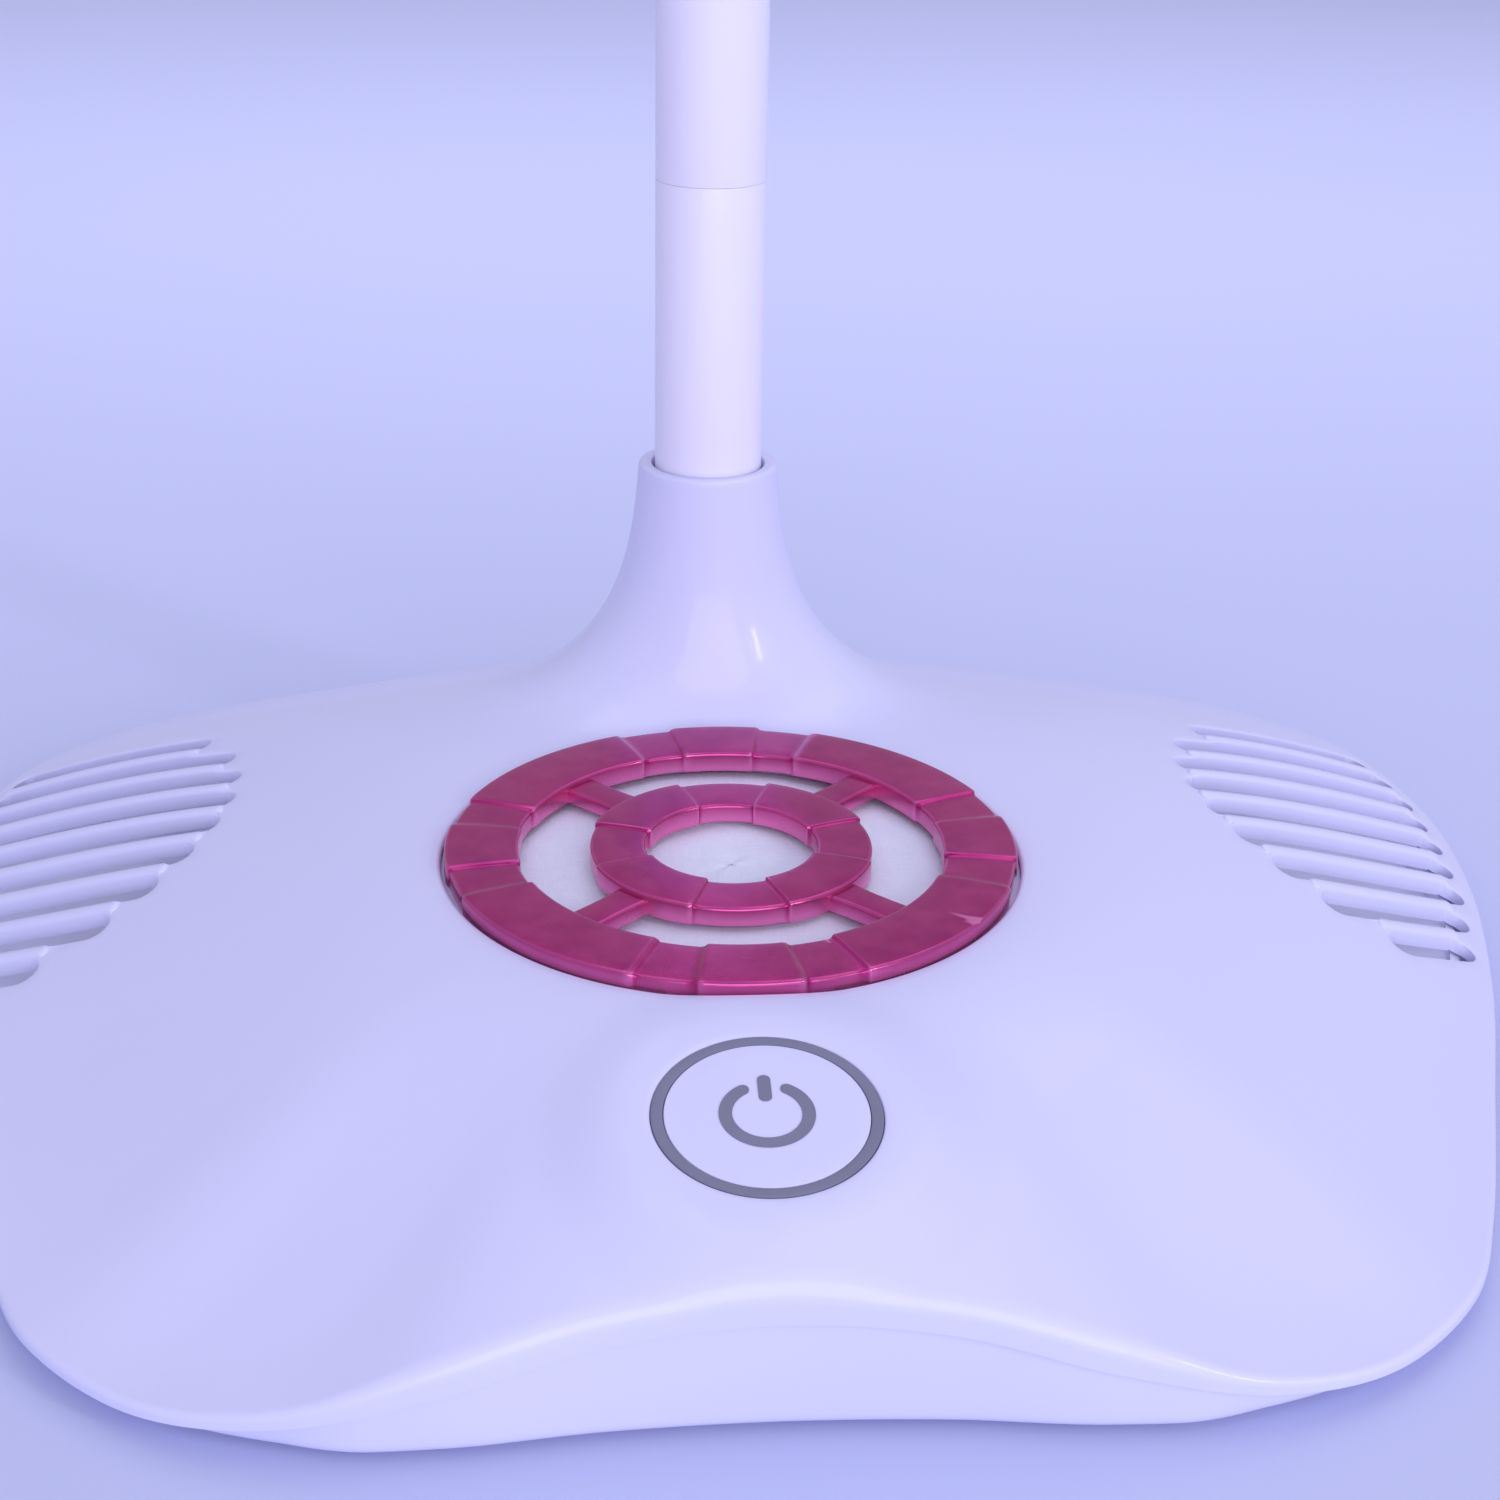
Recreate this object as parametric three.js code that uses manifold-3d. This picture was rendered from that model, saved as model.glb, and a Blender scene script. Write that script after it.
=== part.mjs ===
// Nail dust collector: a low curved base that draws dust down through a round grille, and a lamp on a stem.
// Millimetres, +Z up. The origin is on the grille's axis, on the table. The user sits at -Y.
import * as THREE from 'three';
import { mergeVertices } from 'three/addons/utils/BufferGeometryUtils.js';
import Module from 'manifold-3d';

const wasm = await Module();
wasm.setup();

// ---------- Driving dimensions ----------
// Half outline of the base, front centre to back centre: x, y, height of the edge, slope at the edge.
const OUTLINE = [
  [0, -109.4, 24.8, -0.42],
  [24, -110.2, 22.6, -0.42],
  [47, -112.4, 16.4, -0.38],
  [68.5, -111.5, 9, -0.26],
  [89, -104.3, 5.7, -0.15],
  [106.5, -89, 5.6, -0.15],
  [116.5, -69.5, 5.7, -0.17],
  [128.5, -37.5, 6.8, -0.23],
  [141, -2, 8.2, -0.3],
  [149.5, 34, 9.8, -0.36],
  [150.5, 66, 11, -0.4],
  [141, 92.5, 13.2, -0.42],
  [116.5, 105.5, 17.5, -0.44],
  [80, 109, 23, -0.4],
  [40, 110, 27.8, -0.36],
  [0, 110, 29.5, -0.33],
];
const STEPS_PER_POINT = 2; // columns of the shells between two outline points
const CROWN_Z = 37; // height of the top shell round the grille
const SEAT_R = 50.6; // round seat that the grille lies in
const SKIN = 2.4; // wall thickness of the shells
const SEAT_Z = 35.2; // floor of the grille seat
const WELL_R = 46; // bore of the filter well under the seat
const WELL_Z = 26.9; // lower end of the filter well
const FOOT_Z = 1.5; // underside of the bottom shell
const WALL = 2.2; // wall and floor thickness of the bottom shell
const FLOOR_Z = FOOT_Z + WALL; // inner face of the bottom shell

const GRILLE = { r: 50, bandInner: 37.1, hubOuter: 25.2, hubInner: 14.6, low: 38.2, high: 39.1, base: 35.3 };
const BUTTON = { y: -79.4, tilt: 9.6, ringOuter: 17, ringInner: 15.2, cap: 14.9, landInner: 19, landOuter: 34 };
const STEM = { y: 79, r: 10.5, wall: 1.5, bottom: 15.4, seam: 138.6, top: 316 };
const COLLAR = { mouthZ: 83.5, bore: 11.1, throat: 12.8, spread: 28.5, fall: 13.8 };
const VENT = { x: 132.3, y: 41, r: 41.5, turn: 18.5, pitch: 8.7, slots: 9, width: 6, margin: 4.6 };
const LAMP = { axisZ: 340, front: -94, rear: 92, halfWidth: 30, corner: 26, gapHalf: 4.6 };
LAMP.top = LAMP.axisZ + 7.6;
LAMP.bottom = LAMP.axisZ - 6.5;

const WHITE = { color: 0xdcdcf6, roughness: 0.22, metalness: 0 };
const MAGENTA = { color: 0xa52a68, roughness: 0.25, metalness: 0.35 };
const GREY_BLUE = { color: 0x70708f, roughness: 0.5, metalness: 0 };
const PLAIN_WHITE = { color: 0xe8e8ee, roughness: 0.6, metalness: 0 };
const BLACK_PLASTIC = { color: 0x202024, roughness: 0.5, metalness: 0 };
const STEEL = { color: 0xa9abb0, roughness: 0.35, metalness: 0.9 };
const COPPER = { color: 0xb5653a, roughness: 0.4, metalness: 0.8 };
const BRASS = { color: 0xc3a35a, roughness: 0.35, metalness: 0.9 };
const RUBBER = { color: 0x3a3a40, roughness: 0.9, metalness: 0 };
const BOARD = { color: 0x1f6b45, roughness: 0.5, metalness: 0 };

const part = new THREE.Group();

// ---------- Small tools ----------
const radians = (degrees) => (degrees * Math.PI) / 180;
const lerp = (a, b, t) => a + (b - a) * t;

function smoothstep(t) {
  const u = Math.min(1, Math.max(0, t));
  return u * u * (3 - 2 * u);
}

// A three.js geometry as a manifold-3d solid.
function solid(geometry) {
  const bare = geometry.index ? geometry.toNonIndexed() : geometry.clone();
  bare.deleteAttribute('normal');
  bare.deleteAttribute('uv');
  const merged = mergeVertices(bare, 1e-4);
  const mesh = new wasm.Mesh({
    numProp: 3,
    vertProperties: Float32Array.from(merged.attributes.position.array),
    triVerts: Uint32Array.from(merged.index.array),
  });
  return new wasm.Manifold(mesh);
}

// A manifold-3d solid as a three.js geometry.
function geometryOf(manifold) {
  const mesh = manifold.getMesh();
  const geometry = new THREE.BufferGeometry();
  geometry.setAttribute('position', new THREE.BufferAttribute(Float32Array.from(mesh.vertProperties), 3));
  geometry.setIndex(Array.from(mesh.triVerts));
  return geometry;
}

const cut = (base, ...tools) => tools.reduce((left, tool) => left.subtract(tool), base);
const join = (...solids) => solids.reduce((left, right) => left.add(right));

function addPart(name, shape, look, parent = part) {
  const geometry = shape.isBufferGeometry ? shape : geometryOf(shape);
  const mesh = new THREE.Mesh(geometry, new THREE.MeshStandardMaterial(look));
  mesh.name = name;
  parent.add(mesh);
  return mesh;
}

// Turned piece about Z from a closed profile of [radius, height] that runs anticlockwise.
function turned(profile, segments = 32) {
  const points = [...profile, profile[0]].map(([r, z]) => new THREE.Vector2(r, z));
  return new THREE.LatheGeometry(points, segments).rotateX(Math.PI / 2);
}

const disc = (r, low, high, segments = 32) => turned([[0, low], [r, low], [r, high], [0, high]], segments);

function ring(inner, outer, low, high, segments = 32) {
  return turned([[inner, low], [outer, low], [outer, high], [inner, high]], segments);
}

function box(xLow, xHigh, yLow, yHigh, zLow, zHigh) {
  const geometry = new THREE.BoxGeometry(xHigh - xLow, yHigh - yLow, zHigh - zLow);
  return geometry.translate((xLow + xHigh) / 2, (yLow + yHigh) / 2, (zLow + zHigh) / 2);
}

// Plan outline, a list of [x, y] running anticlockwise, pushed up from low to high.
function plate(points, low, high) {
  const shape = new THREE.Shape(points.map(([x, y]) => new THREE.Vector2(x, y)));
  return new THREE.ExtrudeGeometry(shape, { depth: high - low, bevelEnabled: false }).translate(0, 0, low);
}

// Tube of a round section along a smooth path.
function wire(points, r, steps, sides = 8) {
  const shape = new THREE.Shape();
  shape.absarc(0, 0, r, 0, 2 * Math.PI, false);
  const extrudePath = new THREE.CatmullRomCurve3(points.map((p) => new THREE.Vector3(...p)));
  return new THREE.ExtrudeGeometry(shape, { steps, extrudePath, curveSegments: sides, bevelEnabled: false });
}

// Body swept through closed loops of points, one loop for each column, and the last column joins the first.
// A loop runs anticlockwise in its own plane, with the radius to the right and Z up.
function loopBody(loops) {
  const n = loops[0].length;
  const positions = loops.flat(2);
  const index = [];
  loops.forEach((_, c) => {
    const next = ((c + 1) % loops.length) * n;
    for (let k = 0; k < n; k++) {
      const a = c * n + k;
      const b = c * n + ((k + 1) % n);
      const d = next + k;
      const e = next + ((k + 1) % n);
      index.push(a, d, b, b, d, e);
    }
  });
  const geometry = new THREE.BufferGeometry();
  geometry.setAttribute('position', new THREE.Float32BufferAttribute(positions, 3));
  geometry.setIndex(index);
  return geometry;
}

// ---------- The form of the base ----------
const mirrored = OUTLINE.slice(1, -1).reverse().map(([x, y, edge, slope]) => [-x, y, edge, slope]);
const outlinePoints = [...OUTLINE, ...mirrored];

function catmullRom(list, k, column, t) {
  const at = (i) => list[(i + list.length) % list.length][column];
  const [p0, p1, p2, p3] = [at(k - 1), at(k), at(k + 1), at(k + 2)];
  return 0.5 * (2 * p1 + (p2 - p0) * t + (2 * p0 - 5 * p1 + 4 * p2 - p3) * t * t
    + (3 * p1 - p0 - 3 * p2 + p3) * t * t * t);
}

// Columns round the base: direction, reach, height and slope of the edge, underhang and depth of the rim.
function makeColumns(steps) {
  const columns = [];
  outlinePoints.forEach((_, k) => {
    for (let i = 0; i < steps; i++) {
      const [x, y, edge, slope] = [0, 1, 2, 3].map((c) => catmullRom(outlinePoints, k, c, i / steps));
      const tuck = 0.8 + 2.4 * (1 - smoothstep((edge - 5) / 8));
      const rim = 1.8 + 3.4 * smoothstep((edge - 5) / 14);
      columns.push({ angle: Math.atan2(y, x), reach: Math.hypot(x, y), edge, slope, tuck, rim });
    }
  });
  return columns;
}
const columns = makeColumns(STEPS_PER_POINT);

// The column at any direction, between the two nearest.
function columnAt(angle) {
  const turn = (a) => (((a + Math.PI / 2) % (2 * Math.PI)) + 2 * Math.PI) % (2 * Math.PI);
  const target = turn(angle);
  const k = columns.findIndex((_, i) => i + 1 === columns.length || turn(columns[i + 1].angle) > target);
  const a = columns[k];
  const b = columns[(k + 1) % columns.length];
  const span = turn(b.angle - a.angle - Math.PI / 2);
  const t = span > 0 ? turn(angle - a.angle - Math.PI / 2) / span : 0;
  const between = Object.fromEntries(Object.keys(a).map((key) => [key, lerp(a[key], b[key], t)]));
  return { ...between, angle };
}

const INNER_R = 51.5; // the surface starts here, outside the rounded lip of the seat

// Height of the outer surface at a share t of the way from the seat to the edge.
function heightOnColumn(column, t) {
  const span = column.reach - INNER_R;
  const bell = 2 * t ** 3 - 3 * t ** 2 + 1;
  return bell * CROWN_Z + (1 - bell) * column.edge + (t ** 3 - t ** 2) * column.slope * span;
}

const BUTTON_Z = heightOnColumn(columnAt(-Math.PI / 2), (-BUTTON.y - INNER_R) / (-OUTLINE[0][1] - INNER_R));

// Height of the outer surface over any point, with the flat land round the button.
function surface(x, y) {
  const column = columnAt(Math.atan2(y, x));
  const t = Math.max(0, (Math.hypot(x, y) - INNER_R) / (column.reach - INNER_R));
  const free = heightOnColumn(column, Math.min(1, t));
  const land = BUTTON_Z + (y - BUTTON.y) * Math.tan(radians(BUTTON.tilt));
  const out = Math.hypot(x, y - BUTTON.y);
  const away = smoothstep((out - BUTTON.landInner) / (BUTTON.landOuter - BUTTON.landInner));
  return lerp(land, free, away);
}

const onColumn = (column, r, z) => [r * Math.cos(column.angle), r * Math.sin(column.angle), z];
const skinAt = (column, t) => lerp(SKIN, Math.min(SKIN, column.rim), t * t);

function topZ(column, r) {
  return surface(r * Math.cos(column.angle), r * Math.sin(column.angle));
}

// ---------- Top shell ----------
const OUTER_RINGS = [0, 0.18, 0.36, 0.52, 0.68, 0.84];
const INNER_RINGS = [0.8, 0.5, 0.25];

function topShellLoop(column) {
  const span = column.reach - INNER_R;
  const outer = OUTER_RINGS.map((t) => [INNER_R + t * span, topZ(column, INNER_R + t * span)]);
  const inside = column.reach - 2.2;
  const inner = INNER_RINGS.map((t) => {
    const r = INNER_R + t * (inside - INNER_R);
    return [r, topZ(column, r) - skinAt(column, t)];
  });
  const profile = [
    [WELL_R, WELL_Z],
    [WELL_R, SEAT_Z],
    [SEAT_R, SEAT_Z],
    [SEAT_R, CROWN_Z - 0.4],
    ...outer,
    [column.reach, column.edge],
    [column.reach, column.edge - column.rim],
    [inside, column.edge - column.rim],
    [inside, Math.max(column.edge - column.rim + 0.2, topZ(column, inside) - skinAt(column, 1))],
    ...inner,
    [INNER_R, SEAT_Z - SKIN],
    [WELL_R + 2.2, SEAT_Z - SKIN],
    [WELL_R + 2.2, WELL_Z],
  ];
  return profile.reverse().map(([r, z]) => onColumn(column, r, z));
}

// How far the flare of the collar spreads in each direction: wide to the sides, tight to the front.
function flareTightness(angle) {
  const s = Math.sin(angle);
  return 1 + (s < 0 ? 0.9 : 0.3) * s * s;
}

// Flared collar as a plug, from just below the surface up to the mouth. The inset makes its hollow.
function collarBody(inset) {
  const levels = [-1.2, 1, 4, 9, 16, 26];
  const stemZ = surface(0, STEM.y);
  const rim = COLLAR.mouthZ - stemZ;
  const turns = 24;
  const rows = [...levels, rim].map((h) => {
    const row = [];
    for (let k = 0; k < turns; k++) {
      const angle = (2 * Math.PI * k) / turns;
      const flare = (COLLAR.spread / flareTightness(angle)) * Math.exp(-h / COLLAR.fall);
      const r = COLLAR.throat + flare - inset;
      const x = r * Math.cos(angle);
      const y = Math.min(STEM.y + r * Math.sin(angle), OUTLINE[OUTLINE.length - 1][1] - 0.6 - inset);
      const base = lerp(surface(x, y), stemZ, smoothstep(h / 20));
      row.push([x, y, base + h - (h < 20 ? inset : 0)]);
    }
    return row;
  });
  const bottom = [0, STEM.y, rows[0][0][2] - 1];
  const top = [0, STEM.y, COLLAR.mouthZ + (inset ? 0.01 : 0)];
  const loops = rows[0].map((_, k) => [...rows.map((row) => row[k]).reverse()]);
  const positions = [bottom, top, ...loops.flat()];
  const index = [];
  const n = rows.length;
  for (let k = 0; k < turns; k++) {
    const a = 2 + k * n;
    const b = 2 + ((k + 1) % turns) * n;
    for (let i = 0; i + 1 < n; i++) index.push(a + i, a + i + 1, b + i, b + i, a + i + 1, b + i + 1);
    index.push(1, a, b, 0, b + n - 1, a + n - 1);
  }
  const geometry = new THREE.BufferGeometry();
  geometry.setAttribute('position', new THREE.Float32BufferAttribute(positions.flat(), 3));
  geometry.setIndex(index);
  return solid(geometry);
}

// Slots of one exhaust field, side +1 or -1: parallel, within a round field, turned up towards the outside.
function ventSlots(side) {
  const turn = radians(VENT.turn);
  const along = [Math.cos(turn), Math.sin(turn)];
  const across = [-Math.sin(turn), Math.cos(turn)];
  const tools = [];
  for (let k = 0; k < VENT.slots; k++) {
    const s = (k - (VENT.slots - 1) / 2) * VENT.pitch;
    const start = -Math.sqrt(VENT.r ** 2 - s ** 2);
    const middle = [VENT.x + s * across[0], VENT.y + s * across[1]];
    let end = 0;
    for (let trial = start + 8; trial < VENT.r; trial += 1) {
      const point = [middle[0] + trial * along[0], middle[1] + trial * along[1]];
      const gap = columnAt(Math.atan2(point[1], point[0])).reach - Math.hypot(...point);
      if (gap > VENT.margin) end = trial;
    }
    const slot = box(start, end, s - VENT.width / 2, s + VENT.width / 2, FLOOR_Z + 3, CROWN_Z + 3);
    slot.rotateZ(turn).translate(VENT.x, VENT.y, 0);
    if (side < 0) slot.rotateY(Math.PI).translate(0, 0, CROWN_Z + 3 + FLOOR_Z + 3);
    tools.push(solid(slot));
  }
  return tools;
}

const CASE_SCREWS = [[72, -74], [-72, -74], [92, 88], [-92, 88]];
const BOSS_R = 3.6;
const SCREW_HOLE_R = 1.8;

// Lowest point of the surface over a round post, so that the post stays inside the shell.
function lowestOver(x, y, r) {
  const around = [0, 45, 90, 135, 180, 225, 270, 315].map(radians);
  return Math.min(...around.map((a) => surface(x + r * Math.cos(a), y + r * Math.sin(a))));
}

function topBoss([x, y]) {
  return solid(disc(BOSS_R, FLOOR_Z + 3.2, lowestOver(x, y, BOSS_R) - 0.8, 10).translate(x, y, 0));
}

// Everything that belongs to the button is made about the origin and turned into the slope of the shell.
function onButton(geometry) {
  return geometry.rotateX(radians(BUTTON.tilt)).translate(0, BUTTON.y, BUTTON_Z);
}

const BOARD_TOP = -12; // below the face of the button
const BOARD_SCREW_X = 25;

function makeTopShell() {
  const shell = solid(loopBody(columns.map(topShellLoop)));
  const seatRoom = solid(disc(INNER_R, SEAT_Z - 5, 70, 48));
  const collar = cut(join(shell, cut(collarBody(0), seatRoom)), collarBody(2.6));
  const boreCut = solid(disc(COLLAR.bore, 20, 90, 32).translate(0, STEM.y, 0));
  const postTop = lowestOver(BOARD_SCREW_X, BUTTON.y, 4) - BUTTON_Z - 0.8;
  const boardPosts = [-1, 1].map((side) => {
    return solid(onButton(disc(3, BOARD_TOP + 0.3, postTop, 10).translate(side * BOARD_SCREW_X, 0, 0)));
  });
  const postHoles = [-1, 1].map((side) => {
    return solid(onButton(disc(1.3, BOARD_TOP - 1, -4, 8).translate(side * BOARD_SCREW_X, 0, 0)));
  });
  const buttonCut = solid(onButton(disc(BUTTON.ringOuter + 0.3, -9, 9, 30)));
  const flangeCut = solid(onButton(disc(20, -9, -2.8, 30)));
  const screwCuts = CASE_SCREWS.map(([x, y]) => solid(disc(1.5, FLOOR_Z, FLOOR_Z + 9, 8).translate(x, y, 0)));
  const body = join(collar, ...CASE_SCREWS.map(topBoss), ...boardPosts);
  const slots = [...ventSlots(1), ...ventSlots(-1)];
  return cut(body, boreCut, buttonCut, flangeCut, ...postHoles, ...screwCuts, ...slots);
}
addPart('top_shell', makeTopShell(), WHITE);

// ---------- Bottom shell ----------
function bottomShellLoop(column) {
  const wall = column.reach - column.tuck;
  const under = topZ(column, wall) - skinAt(column, 1);
  const height = Math.max(FLOOR_Z + 0.2, Math.min(column.edge - column.rim, under) - 0.3);
  const inside = wall - WALL;
  const profile = [[0, FOOT_Z], [wall - 1.2, FOOT_Z], [wall, FOOT_Z + 1.2], [wall, height], [inside, height],
    [inside, FLOOR_Z], [0, FLOOR_Z]];
  return profile.map(([r, z]) => onColumn(column, r, z));
}

const FEET = [[82, -84], [-82, -84], [112, 78], [-112, 78]];
const FOOT_R = 7;
const INLET = { x: 66, z: 12, r: 4.2 };
const BALLAST = { halfX: 58, yLow: 63.5, yHigh: 101.5, low: 9, high: 14 };
const BALLAST_POSTS = [[-50, 70], [50, 70], [-50, 96], [50, 96]];

function makeBottomShell() {
  const tub = solid(loopBody(columns.map(bottomShellLoop)));
  const atEach = (places, make) => places.map(([x, y]) => solid(make().translate(x, y, 0)));
  const screwPosts = atEach(CASE_SCREWS, () => ring(SCREW_HOLE_R, BOSS_R, FLOOR_Z - 1, FLOOR_Z + 3, 10));
  const ballastPosts = atEach(BALLAST_POSTS, () => disc(4, FLOOR_Z - 1, BALLAST.low, 10));
  const ballastPegs = atEach(BALLAST_POSTS, () => disc(1.5, FLOOR_Z, BALLAST.high + 1, 8));
  const screwHeads = atEach(CASE_SCREWS, () => disc(3.4, 0, FOOT_Z + 0.9, 12));
  const screwHoles = atEach(CASE_SCREWS, () => disc(SCREW_HOLE_R, 0, FLOOR_Z + 4, 10));
  const footCuts = atEach(FEET, () => disc(FOOT_R + 0.4, 0, FOOT_Z + 0.7, 16));
  const inletCut = disc(INLET.r + 0.1, -8, 8, 16).rotateX(Math.PI / 2).translate(INLET.x, 106, INLET.z);
  const body = join(tub, ...screwPosts, ...ballastPosts, ...ballastPegs);
  return cut(body, ...screwHeads, ...screwHoles, ...footCuts, solid(inletCut));
}
addPart('bottom_shell', makeBottomShell(), WHITE);

FEET.forEach(([x, y], k) => {
  const top = FOOT_Z + 0.6;
  const foot = turned([[0, 0], [FOOT_R - 0.8, 0], [FOOT_R, 0.8], [FOOT_R, top], [0, top]], 14);
  addPart(`foot_${k + 1}`, foot.translate(x, y, 0), RUBBER);
});

// Pan-head screw, driven upwards: head below, shank above.
function screw(headR, headHigh, shankR, length) {
  const profile = [[0, 0], [headR, 0], [headR, headHigh], [shankR, headHigh], [shankR, length], [0, length]];
  return turned(profile, 8);
}
CASE_SCREWS.forEach(([x, y], k) => {
  addPart(`case_screw_${k + 1}`, screw(3.1, 1.5, 1.4, 10.5).translate(x, y, 0.8), STEEL);
});

// ---------- Grille and filter, which lift out together ----------
const SPOKE_ANGLES = [45, 135, 225, 315];

// Sector of a ring, the plateaus on the grille's bands.
function sector(inner, outer, middle, span, low, high) {
  const shape = new THREE.Shape();
  const from = radians(middle - span / 2);
  const to = radians(middle + span / 2);
  shape.absarc(0, 0, outer, from, to, false);
  shape.absarc(0, 0, inner, to, from, true);
  const curveSegments = Math.max(2, Math.round(span / 18));
  const options = { depth: high - low, bevelEnabled: false, curveSegments };
  return new THREE.ExtrudeGeometry(shape, options).translate(0, 0, low);
}

function makeGrille() {
  const { r, bandInner, hubOuter, hubInner, low, high, base } = GRILLE;
  const band = solid(ring(bandInner, r, base, low, 48));
  const hub = solid(ring(hubInner, hubOuter, base, low, 32));
  const spokes = SPOKE_ANGLES.map((angle) => {
    return solid(box(hubInner + 4, bandInner + 5, -3.6, 3.6, base + 0.1, low - 0.3).rotateZ(radians(angle)));
  });
  const plateaus = SPOKE_ANGLES.flatMap((angle) => [
    solid(sector(bandInner + 0.4, r - 0.5, angle, 46, low - 1, high)),
    solid(sector(bandInner + 0.4, r - 0.5, angle + 45, 20, low - 1, high)),
    solid(sector(hubInner + 0.4, hubOuter - 0.4, angle, 52, low - 1, high)),
  ]);
  return join(band, hub, ...spokes, ...plateaus);
}
addPart('grille', makeGrille(), MAGENTA);

const PAD_R = 42.4;
function makeFilterFrame() {
  const basket = solid(ring(43, 45.6, 27.6, SEAT_Z - 0.3, 36));
  const bars = [0, 60, 120].map((angle) => {
    return solid(box(-44, 44, -1.1, 1.1, 27.6, 29.4).rotateZ(radians(angle)));
  });
  const hoop = solid(ring(20, 22.2, 27.6, 29.4, 20));
  return join(basket, hoop, ...bars);
}
addPart('filter_frame', makeFilterFrame(), PLAIN_WHITE);
addPart('filter_pad', disc(PAD_R, 29.7, 34.3, 30), PLAIN_WHITE);

// ---------- Power button ----------
const buttonGroup = new THREE.Group();
buttonGroup.position.set(0, BUTTON.y, BUTTON_Z);
buttonGroup.rotation.x = radians(BUTTON.tilt);
part.add(buttonGroup);

const trim = [[BUTTON.ringInner, -4.4], [19.4, -4.4], [19.4, -3.1], [BUTTON.ringOuter, -3.1],
  [BUTTON.ringOuter, 0], [BUTTON.ringInner, 0]];
addPart('power_ring', turned(trim, 28), GREY_BLUE, buttonGroup);

const capProfile = [[0, -8], [2.4, -8], [2.4, -2], [13, -2], [13, -6.2], [17.2, -6.2], [17.2, -5.2],
  [BUTTON.cap, -5.2], [BUTTON.cap, -0.3], [BUTTON.cap - 0.3, 0], [0, 0]];
addPart('power_button', turned(capProfile, 28), WHITE, buttonGroup);

const MARK = { r: 6.1, half: 0.85, open: 62, low: 0.05, high: 0.3 };
const arcMark = sector(MARK.r - MARK.half, MARK.r + MARK.half, 270, 360 - MARK.open, MARK.low, MARK.high);
addPart('power_symbol_arc', arcMark, GREY_BLUE, buttonGroup);
const barMark = box(-MARK.half, MARK.half, 2.6, 8.2, MARK.low, MARK.high);
addPart('power_symbol_bar', barMark, GREY_BLUE, buttonGroup);

const SPRING = { r: 5, wire: 0.35, turns: 4, low: BOARD_TOP + 0.5, high: -2.5 };
function helix(t) {
  const angle = 2 * Math.PI * SPRING.turns * t;
  const z = lerp(SPRING.low, SPRING.high, t);
  return [SPRING.r * Math.cos(angle), SPRING.r * Math.sin(angle), z];
}
const springSteps = 9 * SPRING.turns;
const springPath = Array.from({ length: springSteps + 1 }, (_, k) => helix(k / springSteps));
addPart('button_spring', wire(springPath, SPRING.wire, springSteps, 3), STEEL, buttonGroup);

const switchHole = solid(disc(1.9, BOARD_TOP + 0.5, BOARD_TOP + 5, 16));
const switchBody = cut(solid(box(-3, 3, -3, 3, BOARD_TOP + 0.3, BOARD_TOP + 2.5)), switchHole);
addPart('switch_body', switchBody, BLACK_PLASTIC, buttonGroup);
addPart('switch_plunger', disc(1.6, BOARD_TOP + 2, -8.1, 16), BLACK_PLASTIC, buttonGroup);

const boardScrewHoles = [-1, 1].map((side) => {
  return solid(disc(1.6, BOARD_TOP - 4, BOARD_TOP + 1, 12).translate(side * BOARD_SCREW_X, 0, 0));
});
const boardPlate = cut(solid(box(-29, 29, -10, 9, BOARD_TOP - 1.6, BOARD_TOP)), ...boardScrewHoles);
addPart('control_board', boardPlate, BOARD, buttonGroup);
[-1, 1].forEach((side) => {
  const piece = screw(2.6, 1.4, 1, 6.5).translate(side * BOARD_SCREW_X, 0, BOARD_TOP - 3.4);
  addPart(side < 0 ? 'board_screw_left' : 'board_screw_right', piece, STEEL, buttonGroup);
});
const UNDER_BOARD = BOARD_TOP - 1.7;
addPart('controller_chip', box(8, 15, -4, 1.2, UNDER_BOARD - 1.5, UNDER_BOARD), BLACK_PLASTIC, buttonGroup);
addPart('board_connector', box(-16, -6, 2, 7.5, UNDER_BOARD - 4.7, UNDER_BOARD), PLAIN_WHITE, buttonGroup);

// ---------- Blower ----------
const FAN = { r: 48, low: 9.6, high: 23.4, blades: 18, bladeInner: 35, hub: 17.6 };

function makeBlowerHousing() {
  const pan = disc(60, FLOOR_Z + 0.1, FLOOR_Z + 1.9, 48);
  const walls = [90, 270].map((middle) => solid(sector(57.8, 59.8, middle, 110, FLOOR_Z + 1, 24.4)));
  return join(solid(pan), ...walls);
}
addPart('blower_housing', makeBlowerHousing(), PLAIN_WHITE);
const coverProfile = [[34, 24.6], [59.8, 24.6], [59.8, 26.4], [35.6, 26.4], [34, 25.6]];
addPart('blower_cover', turned(coverProfile, 40), PLAIN_WHITE);

function makeImpeller() {
  const { r, low, high, blades, bladeInner, hub } = FAN;
  const profile = [[16.4, low], [r, low], [r, low + 1.4], [hub, low + 1.4], [hub, 20.6], [16.4, 22.2],
    [1.7, 22.2], [1.7, 20.7], [16.4, 20.7]];
  const back = solid(turned(profile, 32));
  const eye = solid(ring(r - 3.5, r, high - 1.4, high, 32));
  const vanes = Array.from({ length: blades }, (_, k) => {
    const vane = box(-0.6, 0.6, -7.2, 7.2, low + 0.7, high - 0.7).rotateZ(radians(38));
    return solid(vane.translate(0, (bladeInner + r) / 2, 0).rotateZ((2 * Math.PI * k) / blades));
  });
  const rim = solid(disc(r, low, high, 32));
  return join(back, eye, ...vanes).intersect(rim);
}
addPart('impeller', makeImpeller(), BLACK_PLASTIC);

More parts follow.
